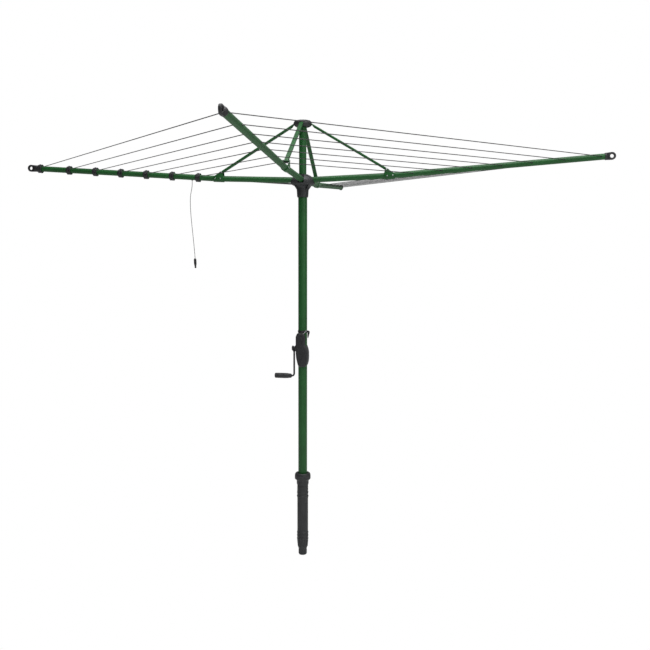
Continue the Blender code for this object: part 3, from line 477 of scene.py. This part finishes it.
def make_collar():
    """The locking collar: a domed, lobed ring with a threaded neck and two clamp screws."""
    bore = MAST_R + 0.0006
    top = COLLAR_TOP
    outline = [(bore, top - 0.010), (bore + 0.0050, top - 0.0010), (bore + 0.0070, top), (0.0385, top),
               (0.0425, top - 0.0045), (0.0448, top - 0.0125), (0.0454, 0.0120), (0.0440, 0.0050),
               (0.0380, 0.0010), (0.0345, -0.0020), (0.0335, -0.019), (0.0322, -0.0295), (0.0288, -0.0295),
               (0.0288, -0.004), (bore, -0.004)]
    crown = lathe(soften(outline, 0.0022, closed=True), 96, closed=True)
    rippled(crown, lambda angle: 1.0 - 0.022 * max(0.0, math.cos(12 * angle)) ** 2,
            lambda reach, height: reach > 0.036 and height > -0.001)
    extras = []
    for angle in (-62, 118):
        pad = (block((0.010, 0.020, 0.020), 0.0025, 3), turn(angle) @ shift(0.0392, 0, 0.017))
        head = (drum(0.0045, 0.004, 0.0008, 24), turn(angle) @ shift(0.0440, 0, 0.017) @ turn(90, "Y"))
        extras += [pad, head]
    for number in range(30):
        rib = block((0.0014, 0.0022, 0.020), 0.0006)
        extras.append((rib, turn(12 * number) @ shift(0.0334, 0, -0.011)))
    finish_piece("collar_ring", joined(crown, *extras), CHARCOAL, "ground_socket", ("socket_collar",))


# ---- masts ------------------------------------------------------------------------------------
def make_masts():
    """The outer and inner mast tubes, and the sleeve that the hub latches on."""
    bore = MAST_R - MAST_WALL
    lower = [(bore, MAST_TOP), (MAST_R, MAST_TOP), (MAST_R, MAST_FOOT), (bore, MAST_FOOT)]
    finish_piece("lower_mast_tube", lathe(soften(lower, 0.0006, closed=True), 72, closed=True), GREEN, "mast",
                 ("outer_mast",))
    bore = INNER_R - INNER_WALL
    upper = [(bore, INNER_TOP), (INNER_R, INNER_TOP), (INNER_R, INNER_FOOT), (bore, INNER_FOOT)]
    finish_piece("upper_mast_tube", lathe(soften(upper, 0.0005, closed=True), 64, closed=True), GREEN, "head",
                 ("inner_mast",))
    bore = INNER_R + GAP
    low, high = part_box("latch_collar")[0][2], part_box("latch_collar")[1][2]
    sleeve = [(bore, high), (MAST_R, high), (MAST_R, low), (bore, low)]
    finish_piece("latch_sleeve", lathe(soften(sleeve, 0.0012, closed=True), 64, closed=True), BLACK, "head",
                 ("latch_collar",))


# ---- hub and crown ----------------------------------------------------------------------------
def square_wire(half, bend, height, radius):
    """A square wire ring with rounded corners, drawn as one loop that starts and ends at the same spot."""
    inner = half - bend
    points = []
    for quarter in range(4):
        for across, along in arc((inner, inner), bend, 0, 90, 7):
            points.append(turn(90 * quarter) @ Vector((across, along, height)))
    points += [points[0].lerp(points[1], 0.5)]
    points[0] = points[-1].copy()
    return sweep(points, radius, 16)


def make_hub():
    """The sliding hub: a skirt, a flared web, a drum with four forks, and gusset ribs below."""
    bore = MAST_R + RUN
    profile = [(bore, 0.0290), (bore + 0.0050, 0.0290), (bore + 0.0075, 0.0270), (0.0420, 0.0222),
               (0.0510, 0.0188), (0.0580, 0.0090), (0.0666, -0.0030), (0.0670, -0.0150), (0.0635, -0.0245),
               (0.0530, -0.0305), (0.0430, -0.0350), (0.0368, -0.0400), (0.0342, -0.0490), (0.0330, -0.0610),
               (0.0315, -0.0840), (0.0302, -0.0930), (0.0285, -0.0970), (bore, -0.0970)]
    outline = [(radius, HUB_PIVOT_Z + up) for radius, up in profile]
    drum_form = lathe(soften(outline, 0.0022, closed=True), 96, closed=True)
    cutters = []
    for _, angle in SIDES:
        gap = block((0.080, 2 * ARM_R + 0.0010, 0.080))
        cutters.append(joined((gap, turn(angle) @ shift(0.0712, 0, HUB_PIVOT_Z - ARM_R - 0.0035 + 0.040))))
    body = carved(drum_form, *cutters, edge=0.0009)
    extras = []
    for number in range(4):
        corner = turn(45 + 90 * number) @ shift(0, 0, HUB_PIVOT_Z)
        web = slab(soften([(0.0315, -0.0560), (0.0345, -0.0600), (0.0600, -0.0290), (0.0480, -0.0260),
                           (0.0315, -0.0260)], 0.003, closed=True), -0.0020, 0.0020)
        extras.append((web, corner))
        extras.append((drum(0.0050, 0.0026, 0.0008, 24), corner @ shift(0.0460, 0, 0.0212) @ turn(20, "Y")))
        for angle in (-24, 24):
            rib = block((0.0130, 0.0024, 0.0030), 0.0009)
            extras.append((rib, corner @ turn(angle) @ shift(0.0410, 0, 0.0226) @ turn(20, "Y")))
    for up, radius in ((-0.0885, 0.0305), (-0.0520, 0.0334)):
        extras.append((bead(radius, 0.0011, 0.0034), shift(0, 0, HUB_PIVOT_Z + up)))
    finish_piece("hub_casting", joined(body, *extras), CHARCOAL, "hub", ("hub_body",))
    finish_piece("hub_wire", square_wire(HUB_PIVOT_R, 0.026, HUB_PIVOT_Z, 0.0030), ZINC, "hub",
                 ("hub_pin_ring",))


def make_crown():
    """The fixed crown: a drum with four strut slots below a shallow domed roof."""
    bore = INNER_R + GAP
    outline = [(bore, 0.0100), (0.0470, 0.0100), (0.0505, 0.0065), (0.0515, 0.0030), (0.0515, -0.0050),
               (0.0440, -0.0130), (0.0380, -0.0165), (0.0360, -0.0170), (bore, -0.0170)]
    outline = [(radius, CROWN_PIVOT.z + up) for radius, up in outline]
    drum_form = lathe(soften(outline, 0.0018, closed=True), 96, closed=True)
    cutters = []
    for _, angle in SIDES:
        gap = block((0.060, 0.0235, 0.060))
        cutters.append(joined((gap, turn(angle) @ shift(0.0565, 0, CROWN_PIVOT.z - 0.0070))))
    body = carved(drum_form, *cutters, edge=0.0007)
    roof = [(0.0, 0.0208), (0.020, 0.0204), (0.0360, 0.0182), (0.0440, 0.0145), (0.0490, 0.0108),
            (0.0480, 0.0096), (0.0, 0.0096)]
    lid = lathe(soften([(radius, CROWN_PIVOT.z + up) for radius, up in roof], 0.0016), 96)
    ribs = []
    for number in range(12):
        rib = block((0.0240, 0.0022, 0.0022), 0.0008)
        ribs.append((rib, turn(15 + 30 * number) @ shift(0.0335, 0, CROWN_PIVOT.z + 0.0178) @ turn(13, "Y")))
    finish_piece("crown_casting", joined(body, lid, *ribs), CHARCOAL, "head", ("crown_body", "crown_cap"))
    finish_piece("crown_wire", square_wire(CROWN_PIVOT.x, 0.022, CROWN_PIVOT.z, 0.0020), ZINC, "head",
                 ("crown_pin_ring",))


# ---- arms -------------------------------------------------------------------------------------
def arm_height(radius):
    inner = min(radius, KINK_R) - HUB_PIVOT_R
    return HUB_PIVOT_Z + inner * INNER_SLOPE + max(radius - KINK_R, 0.0) * OUTER_SLOPE


def arm_spot(radius, across=0.0, lift=0.0):
    return Vector((radius, across, arm_height(radius) + lift))


def arm_frame(radius, slope=OUTER_SLOPE):
    """A frame on the arm's axis, with X along the arm."""
    return Matrix.Translation(arm_spot(radius)) @ Matrix.Rotation(-math.atan(slope), 4, "Y")


def make_arm_tube(side, home):
    """A bent tube. Its kink is a short smooth bend under the saddle."""
    route = [arm_spot(HUB_PIVOT_R - 0.008), arm_spot(0.250)]
    for step in range(9):
        radius = KINK_R - KINK_REACH + KINK_REACH / 4 * step
        blend = max(0.0, 1.0 - ((radius - KINK_R) / KINK_REACH) ** 2)
        route.append(arm_spot(radius, 0.0, 0.25 * KINK_REACH * (OUTER_SLOPE - INNER_SLOPE) * blend))
    route += [arm_spot(0.80), arm_spot(1.20), arm_spot(ARM_END)]
    form = hollow_sweep(route, ARM_R, ARM_WALL)
    finish_piece("arm_tube_" + side, form, GREEN, "arm_" + side, ("arm_" + side,), home)


def make_grommets(side, home):
    """Small nylon bushes where each line goes into the arm's two sides and comes out."""
    bushes = []
    for corner in LINE_CORNERS:
        for sign in (-1, 1):
            bush = lathe(soften([(LINE_R + 0.0002, 0.0003), (0.0029, 0.0003), (0.0036, -0.0004),
                                 (0.0036, -0.0020), (LINE_R + 0.0002, -0.0020)], 0.0003, 2, True), 20, True)
            spot = arm_spot(corner - ARM_R - 0.0002, sign * (ARM_R + 0.0006))
            bushes.append((bush, Matrix.Translation(spot) @ turn(-90 * sign, "X")))
    finish_piece("line_bushes_" + side, joined(*bushes), BLACK, "arm_" + side, (), home)


def make_cap(side, home):
    """A moulded end cap: a sleeve over the tube that runs, full height, into an upright eyelet."""
    rim = ARM_R + GAP + 0.0025
    grip = 0.0130 if side == "left" else 0.0055
    centre = EYE_TIP - ARM_END - EYE_R + 0.0003
    half = 0.0060
    sleeve = lathe(soften([(0.0, 0.0190), (0.0060, 0.0185), (0.0125, 0.0120), (rim - 0.0020, 0.0050),
                           (rim, 0.0025), (rim, 0.0020 - grip), (rim - 0.0008, -grip), (ARM_R + GAP, -grip),
                           (ARM_R + GAP, GAP), (0.0, GAP)], 0.0014), 48)
    moved(sleeve, turn(90, "Y"))
    outline = [(0.0010, -rim + 0.0004), *arc((centre, 0.0), EYE_R, -90, 90, 25), (0.0010, rim - 0.0004)]
    hole = moved(drum(EYE_HOLE_R, 0.04, 0.0, 40), shift(centre) @ turn(90, "X"))
    flank = carved(slab(outline, -half, half), hole, edge=0.0018, segments=3)
    form = carved(flank, sleeve, operation="UNION")
    web = block((0.0120, 2 * half + 0.0036, 0.0030), 0.0010)
    form = joined(form, (web, shift(0.0150, 0.0, 0.0090)), (web.copy(), shift(0.0150, 0.0, -0.0090)))
    finish_piece("end_cap_" + side, form, BLACK, "arm_" + side, ("tip_cap_" + side,),
                 home @ arm_frame(ARM_END))


def make_saddle(side, home):
    """A folded steel saddle round the arm, two rivets a side, and its cross pin with nylon washers."""
    play, wall = ARM_R + 0.0008, 0.0020
    outer = play + wall
    half, pivot, crest = 0.0300, STRUT_FOOT.x - SADDLE_R, 0.0425
    section = [(-outer, 0.06), *arc((0, 0), outer, 180, 360, 25), (outer, 0.06)]
    section += [(play, 0.06), *arc((0, 0), play, 360, 180, 25), (-play, 0.06)]
    channel = moved(slab(section, -half, half), turn(90))
    line = [(-half - 0.01, 0.013), (-half + 0.002, 0.016), (pivot - 0.0085, 0.024),
            (pivot - 0.0080, crest - 0.010)]
    line += arc((pivot, crest - 0.0080), 0.0080, 175, 60, 9)
    line += [(0.004, 0.0270), (half - 0.004, 0.0120), (half + 0.01, 0.010), (half + 0.01, 0.09),
             (-half - 0.01, 0.09)]
    body = carved(channel, slab(line, -0.04, 0.04), edge=0.0005)
    place = home @ arm_frame(SADDLE_R, (INNER_SLOPE + OUTER_SLOPE) / 2)
    finish_piece("saddle_" + side, body, GREEN, "arm_" + side, ("bracket_" + side,),
                 place)
    rivets = []
    for sign in (-1, 1):
        for radius in (-0.0125, 0.0185):
            head = lathe([(0.0, 0.0016), (0.0018, 0.0014), (0.0030, 0.0007), (0.0034, 0.0), (0.0, 0.0)], 20)
            rivets.append((head, shift(radius, sign * outer, 0) @ turn(-90 * sign, "X")))
    finish_piece("saddle_rivets_" + side, joined(*rivets), ZINC, "arm_" + side, (), place)
    pivot_place = home @ Matrix.Translation(STRUT_FOOT) @ turn(90, "X")
    shaft = drum(0.0030, 2 * outer + 0.004, 0.0004, 20)
    heads = []
    for sign in (-1, 1):
        head = lathe(soften([(0.0, 0.0022), (0.0040, 0.0019), (0.0055, 0.0006), (0.0055, 0.0), (0.0, 0.0)],
                            0.0006), 28)
        heads.append((head, turn(0 if sign > 0 else 180, "X") @ shift(0, 0, outer + GAP)))
    finish_piece("cross_pin_" + side, joined(shaft, *heads), ZINC, "arm_" + side, ("strut_pin_" + side,),
                 pivot_place)
    washers = []
    reach = (play + STRUT_HALF_WIDTH) / 2
    for sign in (-1, 1):
        spacer = lathe(soften([(0.0034, 0.0026), (0.0068, 0.0026), (0.0068, -0.0026), (0.0034, -0.0026)],
                              0.0005, 2, True), 28, True)
        washers.append((spacer, shift(0, 0, sign * (reach - 0.0001))))
    finish_piece("nylon_washers_" + side, joined(*washers), BLACK, "arm_" + side, (),
                 pivot_place)


def make_strut(side, home):
    """A flattened tube from the saddle up to the crown, its upper end half cut away."""
    rise = CROWN_PIVOT - STRUT_FOOT
    length = rise.length
    width, depth, wall = STRUT_HALF_WIDTH, 0.00675, 0.0012

    def section(shrink):
        corners = [(-width + shrink, -depth + shrink), (width - shrink, -depth + shrink),
                   (width - shrink, depth - shrink), (-width + shrink, depth - shrink)]
        return soften(corners, 0.0052 - shrink, 5, True)

    bar = slab(section(0.0), -0.0085, length + 0.0085)
    bore = slab(section(wall), -0.02, length + 0.02)
    moved(bar, turn(-90))
    moved(bore, turn(-90))
    notch = slab([(length - 0.030, depth), (length - 0.008, -0.0026), (length + 0.03, -0.0026),
                  (length + 0.03, 0.02), (length - 0.030, 0.02)], -0.02, 0.02)
    hole = moved(drum(0.0034, 0.05, 0.0, 24), turn(90, "X"))
    form = carved(bar, bore, notch, hole, edge=0.0004)
    place = home @ Matrix.Translation(STRUT_FOOT) @ Matrix.Rotation(-math.atan2(rise.z, rise.x), 4, "Y")
    finish_piece("strut_tube_" + side, form, GREEN, "strut_" + side, ("strut_" + side,),
                 place)


def make_lines(side, home):
    """Each line from mid-span, in through the arm and out to the next mid-span.

    The four arms' halves meet on the diagonals.
    """
    for number, corner in enumerate(LINE_CORNERS, 1):
        apex = corner - math.sqrt(2) * LINE_BEND
        half_span = corner / 2
        height = arm_height(corner)
        bend = [Vector((x, y, height)) for x, y in arc((apex, 0), LINE_BEND, -45, 45, 7)]
        route = [Vector((corner - half_span, -half_span, height)), *bend,
                 Vector((corner - half_span, half_span, height))]
        form = sweep(route, LINE_R, 10)
        piece = finish_piece("line_%d_%s" % (number, side), form, LINE, "arm_" + side, ("line_%d" % number,),
                             home)
        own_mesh(piece)


def make_line_collars(home):
    """Stepped collars on the left arm that hold the line's bends, each with two line mouths."""
    bore = ARM_R + GAP
    for number, corner in enumerate(LINE_CORNERS, 1):
        outline = [(bore, -0.0045), (0.0190, -0.0045), (0.0206, -0.0060), (0.0232, -0.0100),
                   (0.0234, -0.0230), (0.0238, -0.0245), (0.0250, -0.0258), (0.0250, -0.0312),
                   (0.0238, -0.0325), (bore, -0.0325)]
        body = lathe(soften(outline, 0.0010, closed=True), 56, closed=True)
        rippled(body, lambda angle: 1.0 - 0.02 * abs(math.sin(6 * angle)),
                lambda reach, height: 0.021 < reach < 0.0236 and -0.024 < height < -0.008)
        parts = [(body, arm_frame(corner) @ turn(90, "Y"))]
        screw_boss = (drum(0.0042, 0.0040, 0.0008, 24), arm_frame(corner) @ shift(-0.0170, 0.0, 0.0242))
        key = (block((0.0240, 0.0050, 0.0030), 0.0010), arm_frame(corner) @ shift(-0.0190, 0.0, -0.0230))
        parts += [screw_boss, key]
        for sign in (-1, 1):
            mouth = lathe(soften([(LINE_R + 0.0003, 0.0020), (0.0040, 0.0020), (0.0055, 0.0),
                                  (0.0055, -0.0040), (LINE_R + 0.0003, -0.0040)], 0.0007, 2, True), 20,
                          True)
            spot = arm_spot(corner - 0.0220, sign * 0.0225)
            parts.append((mouth, Matrix.Translation(spot) @ turn(45 * sign) @ turn(-90 * sign, "X")))
        finish_piece("line_stop_%d" % number, joined(*parts), BLACK, "arm_left", ("line_collar_%d" % number,),
                     home)


# ---- gearbox, clamp and crank -----------------------------------------------------------------
def make_gearbox():
    """Two moulded shells round the mast: an upper left cover and a lower right bulge."""
    side, left, deep, half_joint = MAST_R + 0.001, 0.036, 0.034, 0.00025
    outline = [(-side, 0.088), (-0.0335, 0.074), (-left, 0.067), (-left, -0.021), (-left + 0.003, -0.055),
               (-side + 0.001, -0.089), (-0.0175, -0.105), (0.0165, -0.105), (0.0260, -0.093),
               (0.0315, -0.072), (0.0330, -0.050), (0.0325, -0.020), (0.0280, 0.002), (0.0235, 0.014),
               (0.0180, 0.022), (0.0190, 0.070), (0.0150, 0.082), (0.0080, 0.088)]
    outline = [(across, CRANK_Z + up) for across, up in outline]
    for name, facing in (("gearbox_front", -1), ("gearbox_rear", 1)):
        solid = slab(soften(outline, 0.006, 4, True), -deep, deep)
        rims = [edge for edge in solid.edges if abs(edge.verts[0].co.y - edge.verts[1].co.y) < WELD]
        bmesh.ops.bevel(solid, geom=rims, offset=0.010, segments=5, profile=0.5, affect="EDGES", material=-1)
        boss = lathe(soften([(0.0, -0.0435), (0.0145, -0.0435), (0.0155, -0.0420), (0.0180, -0.0380),
                             (0.0240, -0.0345), (0.0, -0.0300)][::-1], 0.002), 48)
        moved(boss, shift(0, 0, CRANK_Z) @ turn(90, "Y"))
        shell = carved(solid, boss, operation="UNION")
        bore = moved(drum(MAST_R + GAP, 0.30, 0.0, 72), shift(0, 0, CRANK_Z))
        shaft = moved(drum(0.0055, 0.070, 0.0, 32), shift(-0.045, 0, CRANK_Z) @ turn(90, "Y"))
        away = moved(block((0.2, 0.1, 0.3)), shift(0, -facing * (0.05 - half_joint), CRANK_Z))
        body = carved(shell, bore, shaft, away, edge=0.0006)
        extras = []
        for x, up in ((-0.0270, 0.057), (-0.0255, -0.055), (0.0245, -0.028), (0.0200, -0.085)):
            well = lathe(soften([(0.0, 0.0008), (0.0022, 0.0008), (0.0022, 0.0016), (0.0042, 0.0016),
                                 (0.0046, 0.0), (0.0, 0.0)], 0.0003), 24)
            extras.append((well, shift(x, facing * (deep - 0.0020), CRANK_Z + up) @ turn(-90 * facing, "X")))
        for step in range(4):
            rib = block((0.0018, 0.0040, 0.046), 0.0007)
            extras.append((rib, shift(-0.010 + 0.0065 * step, facing * (deep - 0.0010), CRANK_Z + 0.047)))
        panel = slab(soften([(-0.0200, -0.078), (0.0180, -0.078), (0.0245, -0.050), (0.0230, -0.018),
                             (0.0080, 0.004), (-0.0230, 0.004), (-0.0250, -0.040)], 0.006, 4, True),
                     -0.0009, 0.0009)
        extras.append((panel, shift(0, facing * deep, CRANK_Z)))
        for step in range(5):
            bar = block((0.0300 - 0.002 * step, 0.0036, 0.0022), 0.0008)
            extras.append((bar, shift(-0.001, facing * deep, CRANK_Z - 0.012 - 0.012 * step)))
        finish_piece(name + "_shell", joined(body, *extras), BLACK, "mast", (name,))


def make_clamp():
    """A dark steel band at the gearbox's top, its lug, a pale link and the folding lock lever."""
    low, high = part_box("clamp_band")[0][2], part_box("clamp_band")[1][2]
    inner, outer = MAST_R + GAP, MAST_R + 0.0025
    band = lathe(soften([(inner, high), (outer, high), (outer, low), (inner, low)], 0.0006, 2, True), 72,
                 True)
    lug = block((0.0085, 0.004, 0.011), 0.0006)
    pin = drum(0.0016, 0.010, 0.0003, 20)
    form = joined(band, (lug, shift(LEVER.x - 0.0010, 0, LEVER.z)),
                  (pin, Matrix.Translation(LEVER) @ turn(90, "X")))
    finish_piece("clamp_strap", form, DARK_STEEL, "mast", ("clamp_band",))
    link = block((0.0240, 0.0030, 0.0034), 0.0010)
    ends = [(drum(0.0028, 0.0044, 0.0006, 20), shift(x, 0, 0) @ turn(90, "X")) for x in (-0.0105, 0.0105)]
    finish_piece("cam_link", joined(link, *ends), ZINC, "mast", (),
                 turn(32) @ shift(0, -outer - 0.0026, LEVER.z - 0.0030) @ turn(-40, "Y"))
    inner_x = outer + RUN - LEVER.x
    outline = [(0.0082, 0.0005), *arc((0, 0), 0.0048, 60, 150, 6), (inner_x, -0.001), (inner_x, -0.029),
               (inner_x + 0.0012, -0.0370), (-0.0010, -0.0385), (0.0016, -0.0325), (0.0050, -0.0200),
               (0.0085, -0.0080)]
    plate = slab(soften(outline, 0.0012, 2, True), -0.005, 0.005)
    fork = moved(block((0.020, 0.0046, 0.0185)), shift(0, 0, 0.0007))
    window = moved(drum(0.0012, 0.03, 0.0, 24), shift(-0.0006, 0, -0.0290) @ turn(90, "X"))
    eye = moved(drum(0.0019, 0.03, 0.0, 20), turn(90, "X"))
    finish_piece("lever_blade", carved(plate, fork, window, eye, edge=0.0006), BLACK, "lock_lever",
                 ("lock_lever",), Matrix.Translation(LEVER))


def make_crank():
    """The crank: a moulded boss on the pinion shaft, a bent rod and a free-turning barrel grip."""
    lie = shift(0, 0, CRANK_Z) @ turn(90, "Y")
    boss = lathe(soften([(0.0053, -0.0440), (0.0105, -0.0440), (0.0105, -0.0515), (0.0136, -0.0525),
                         (0.0140, -0.0540), (0.0140, -0.0590), (0.0125, -0.0610), (0.0, -0.0612),
                         (0.0, -0.0593), (0.0053, -0.0593)], 0.0008), 56)
    collar = (lathe(soften([(0.0053, 0.0), (0.0072, 0.0), (0.0076, -0.0110), (0.0053, -0.0110)], 0.0006, 2,
                           True), 32, True), shift(-0.049, 0, CRANK_Z - 0.0080))
    lobes = [(block((0.0060, 0.0034, 0.0030), 0.0009),
              lie @ turn(60 * number) @ shift(0, 0.0132, -0.0562) @ turn(90, "Y")) for number in range(6)]
    finish_piece("crank_boss", joined((boss, lie), collar, *lobes), BLACK, "crank", ("crank_hub",))
    bend_r, rod_x = 0.0135, -0.049
    corner = (rod_x - bend_r, GRIP_Z + bend_r)
    bend = [Vector((x, 0, z)) for x, z in arc(corner, bend_r, 0, -90, 13)]
    route = [Vector((rod_x, 0, CRANK_Z - 0.0062)), *bend,
             Vector((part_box("crank_grip")[0][0] + 0.010, 0, GRIP_Z))]
    finish_piece("crank_rod", sweep(route, 0.0050, 24), DARK_STEEL, "crank", ("crank_arm",))
    start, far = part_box("crank_grip")[1][0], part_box("crank_grip")[0][0]
    bore = 0.0053
    outline = [(0.0, far + 0.0095), (bore, far + 0.0095), (bore, start), (0.0085, start),
               (0.0118, start - 0.0040), (0.0132, start - 0.0110), (0.0126, start - 0.0125),
               (0.0126, start - 0.0165), (0.0140, start - 0.0185), (0.0150, start - 0.0400),
               (0.0149, far + 0.0300), (0.0146, far + 0.0080), (0.0138, far + 0.0025), (0.0095, far),
               (0.0, far)]
    grip = lathe(soften(outline, 0.0015), 80)
    rippled(grip, lambda angle: 1.0 - 0.045 * max(0.0, math.cos(8 * angle)) ** 2,
            lambda reach, height: reach > 0.0130 and far + 0.006 < height < start - 0.0185)
    finish_piece("grip_barrel", grip, CHARCOAL, "crank_grip", ("crank_grip",),
                 shift(0, 0, GRIP_Z) @ turn(90, "Y"))


def make_latch():
    """The sprung latch button at the back of the hub's skirt."""
    low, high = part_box("hub_latch")[0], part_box("hub_latch")[1]
    far, centre = high[1], (low[2] + high[2]) / 2
    outline = [(0.0, far), (0.0045, far - 0.0004), (0.0066, far - 0.0016), (0.0070, far - 0.0032),
               (0.0070, far - 0.0060), (0.0040, far - 0.0060), (0.0040, low[1]), (0.0, low[1])]
    finish_piece("latch_button", lathe(soften(outline, 0.0007), 40), JET, "hub_latch", ("hub_latch",),
                 shift(0, 0, centre) @ turn(-90, "X"))


# ---- pull cord --------------------------------------------------------------------------------
def smooth_route(points, count):
    """Points on a smooth curve through the given ones."""
    padded = [points[0] * 2 - points[1], *points, points[-1] * 2 - points[-2]]
    out = []
    for step in range(count):
        spot = step / (count - 1) * (len(points) - 1)
        index = min(int(spot), len(points) - 2)
        t = spot - index
        a, b, c, d = padded[index:index + 4]
        out.append(0.5 * (2 * b + (c - a) * t + (2 * a - 5 * b + 4 * c - d) * t * t
                          + (3 * b - a - 3 * c + d) * t * t * t))
    return out


def make_pull_cord():
    """The cord that opens the head, its toggle, and its bush under the left arm."""
    exit_spot = Vector((-CORD_EXIT_R, 0.0, arm_height(CORD_EXIT_R) - ARM_R - CORD_DROP))
    route = smooth_route([exit_spot + Vector((across, 0.0, down)) for across, down in CORD_ROUTE], 60)
    cord = finish_piece("cord_line", sweep(route, CORD_R, 12), BRAID, "pull_cord", ("pull_cord",))
    lean = (route[-1] - route[-2]).normalized()
    place = Matrix.Translation(route[-1] + lean * GAP) @ lean.to_track_quat("-Z", "Y").to_matrix().to_4x4()
    outline = [(0.0, 0.0), (0.0030, 0.0), (0.0045, -0.0030), (0.0070, -0.0060), (0.0076, -0.0130),
               (0.0074, -0.0300), (0.0064, -0.0400), (0.0048, -0.0430), (0.0050, -0.0470),
               (0.0050, -0.0540), (0.0036, -0.0570), (0.0, -0.0570)]
    toggle = finish_piece("toggle_barrel", lathe(soften(outline, 0.0012), 36), JET, "pull_cord",
                          ("cord_toggle",), place)
    eyelet = lathe(soften([(0.0018, 0.0004), (0.0040, 0.0004), (0.0046, -0.0006), (0.0046, -0.0022),
                           (0.0018, -0.0022)][::-1], 0.0004, 2, True), 24, True)
    finish_piece("cord_bush", eyelet, BLACK, "arm_left", (), Matrix.Translation(
        exit_spot + Vector((0, 0, CORD_DROP))))


# ---- what stays as it is, and the studio ------------------------------------------------------
def finish_kept_nodes():
    slots = {entry["node"]: entry["material_slot"] for entry in frame["record"]["subparts"]}
    for node, item in frame["nodes"].items():
        for holder in item.material_slots:
            holder.material = KEPT[slots[node]]


def make_studio():
    """A white floor and backdrop, and three soft lamps: above, front right and low in front."""
    floor = bmesh.new()
    bmesh.ops.create_grid(floor, x_segments=1, y_segments=1, size=14.0)
    moved(floor, shift(0, 0, SOCKET_FOOT - 0.001))
    mesh = bpy.data.meshes.new("studio_floor")
    floor.to_mesh(mesh)
    floor.free()
    paint, tree, shader = finish_shader("studio_white", 0.9)
    shader.inputs["Base Color"].default_value = linear("#F6F6F6")
    shader.inputs["Emission Color"].default_value = (1.0, 1.0, 1.0, 1.0)
    shader.inputs["Emission Strength"].default_value = 0.10
    shader.inputs["Specular IOR Level"].default_value = 0.0
    # Floor and backdrop are plain white to look at, and give the object a softer light.
    seen = add(tree, "ShaderNodeLightPath").outputs["Is Camera Ray"]
    white = add(tree, "ShaderNodeEmission")
    shown = add(tree, "ShaderNodeMixShader", links={0: seen, 1: shader.outputs[0], 2: white.outputs[0]})
    tree.links.new(shown.outputs[0], tree.nodes["Material Output"].inputs["Surface"])
    mesh.materials.append(paint)
    ground = bpy.data.objects.new("studio_floor", mesh)
    bpy.context.scene.collection.objects.link(ground)
    world = bpy.data.worlds.new("studio")
    bpy.context.scene.world = world
    world.use_nodes = True
    tree = world.node_tree
    # Reflections see a backdrop that is bright behind the object and dim in front of it.
    path = add(tree, "ShaderNodeLightPath")
    aim = add(tree, "ShaderNodeTexCoord")
    depth = add(tree, "ShaderNodeSeparateXYZ", links={"Vector": aim.outputs["Generated"]})
    sweep_back = add(tree, "ShaderNodeMapRange", {"From Min": -0.2, "From Max": 0.9, "To Min": 0.05,
                                                  "To Max": 0.48}, {"Value": depth.outputs["Y"]})
    soft = add(tree, "ShaderNodeMix", {"A": 0.11}, {"Factor": path.outputs["Is Glossy Ray"],
                                                    "B": sweep_back.outputs["Result"]})
    level = add(tree, "ShaderNodeMix", {"B": 1.0}, {"Factor": path.outputs["Is Camera Ray"],
                                                     "A": soft.outputs["Result"]})
    tree.links.new(level.outputs["Result"], tree.nodes["Background"].inputs["Strength"])
    tree.nodes["Background"].inputs["Color"].default_value = (1.0, 1.0, 1.0, 1.0)
    for name, spot, aim_spot, size, power in (
            ("top_light", (0.6, -1.0, 5.4), (0, 0, 1.0), 4.0, 250.0),
            ("key_light", (3.6, -2.8, 2.6), (0, 0, 1.0), 3.0, 55.0),
            ("front_fill", (0.2, -5.5, 1.2), (0, -0.4, 1.4), 3.0, 16.0)):
        lamp = bpy.data.lights.new(name, "AREA")
        lamp.size = size
        lamp.energy = power
        item = bpy.data.objects.new(name, lamp)
        item.location = spot
        item.rotation_euler = (Vector(aim_spot) - Vector(spot)).to_track_quat("-Z", "Y").to_euler()
        bpy.context.scene.collection.objects.link(item)
    bpy.context.scene.view_settings.view_transform = "Standard"


def make_camera():
    """Chest height, a little to the right of the front arm, 4.5 m from the mast."""
    distance, height, azimuth, tilt = 4.498, 1.268, 0.1791, 0.0787
    lens = bpy.data.cameras.new("camera")
    lens.sensor_width = 36.0
    lens.lens = 44.35
    lens.shift_x = 0.0343
    lens.shift_y = -0.0072
    camera = bpy.data.objects.new("camera", lens)
    camera.location = (distance * math.sin(azimuth), -distance * math.cos(azimuth), height)
    camera.rotation_euler = (math.pi / 2 - tilt, 0.0, azimuth)
    bpy.context.scene.collection.objects.link(camera)
    bpy.context.scene.camera = camera


def main():
    make_camera()
    make_pull_cord()
    finish_kept_nodes()
    make_socket()
    make_collar()
    make_masts()
    make_hub()
    make_crown()
    for side, angle in SIDES:
        home = turn(angle)
        make_arm_tube(side, home)
        make_cap(side, home)
        make_saddle(side, home)
        make_strut(side, home)
        make_lines(side, home)
        if side != "left":
            make_grommets(side, home)
    make_line_collars(turn(180))
    make_gearbox()
    make_clamp()
    make_crank()
    make_latch()
    make_studio()


main()
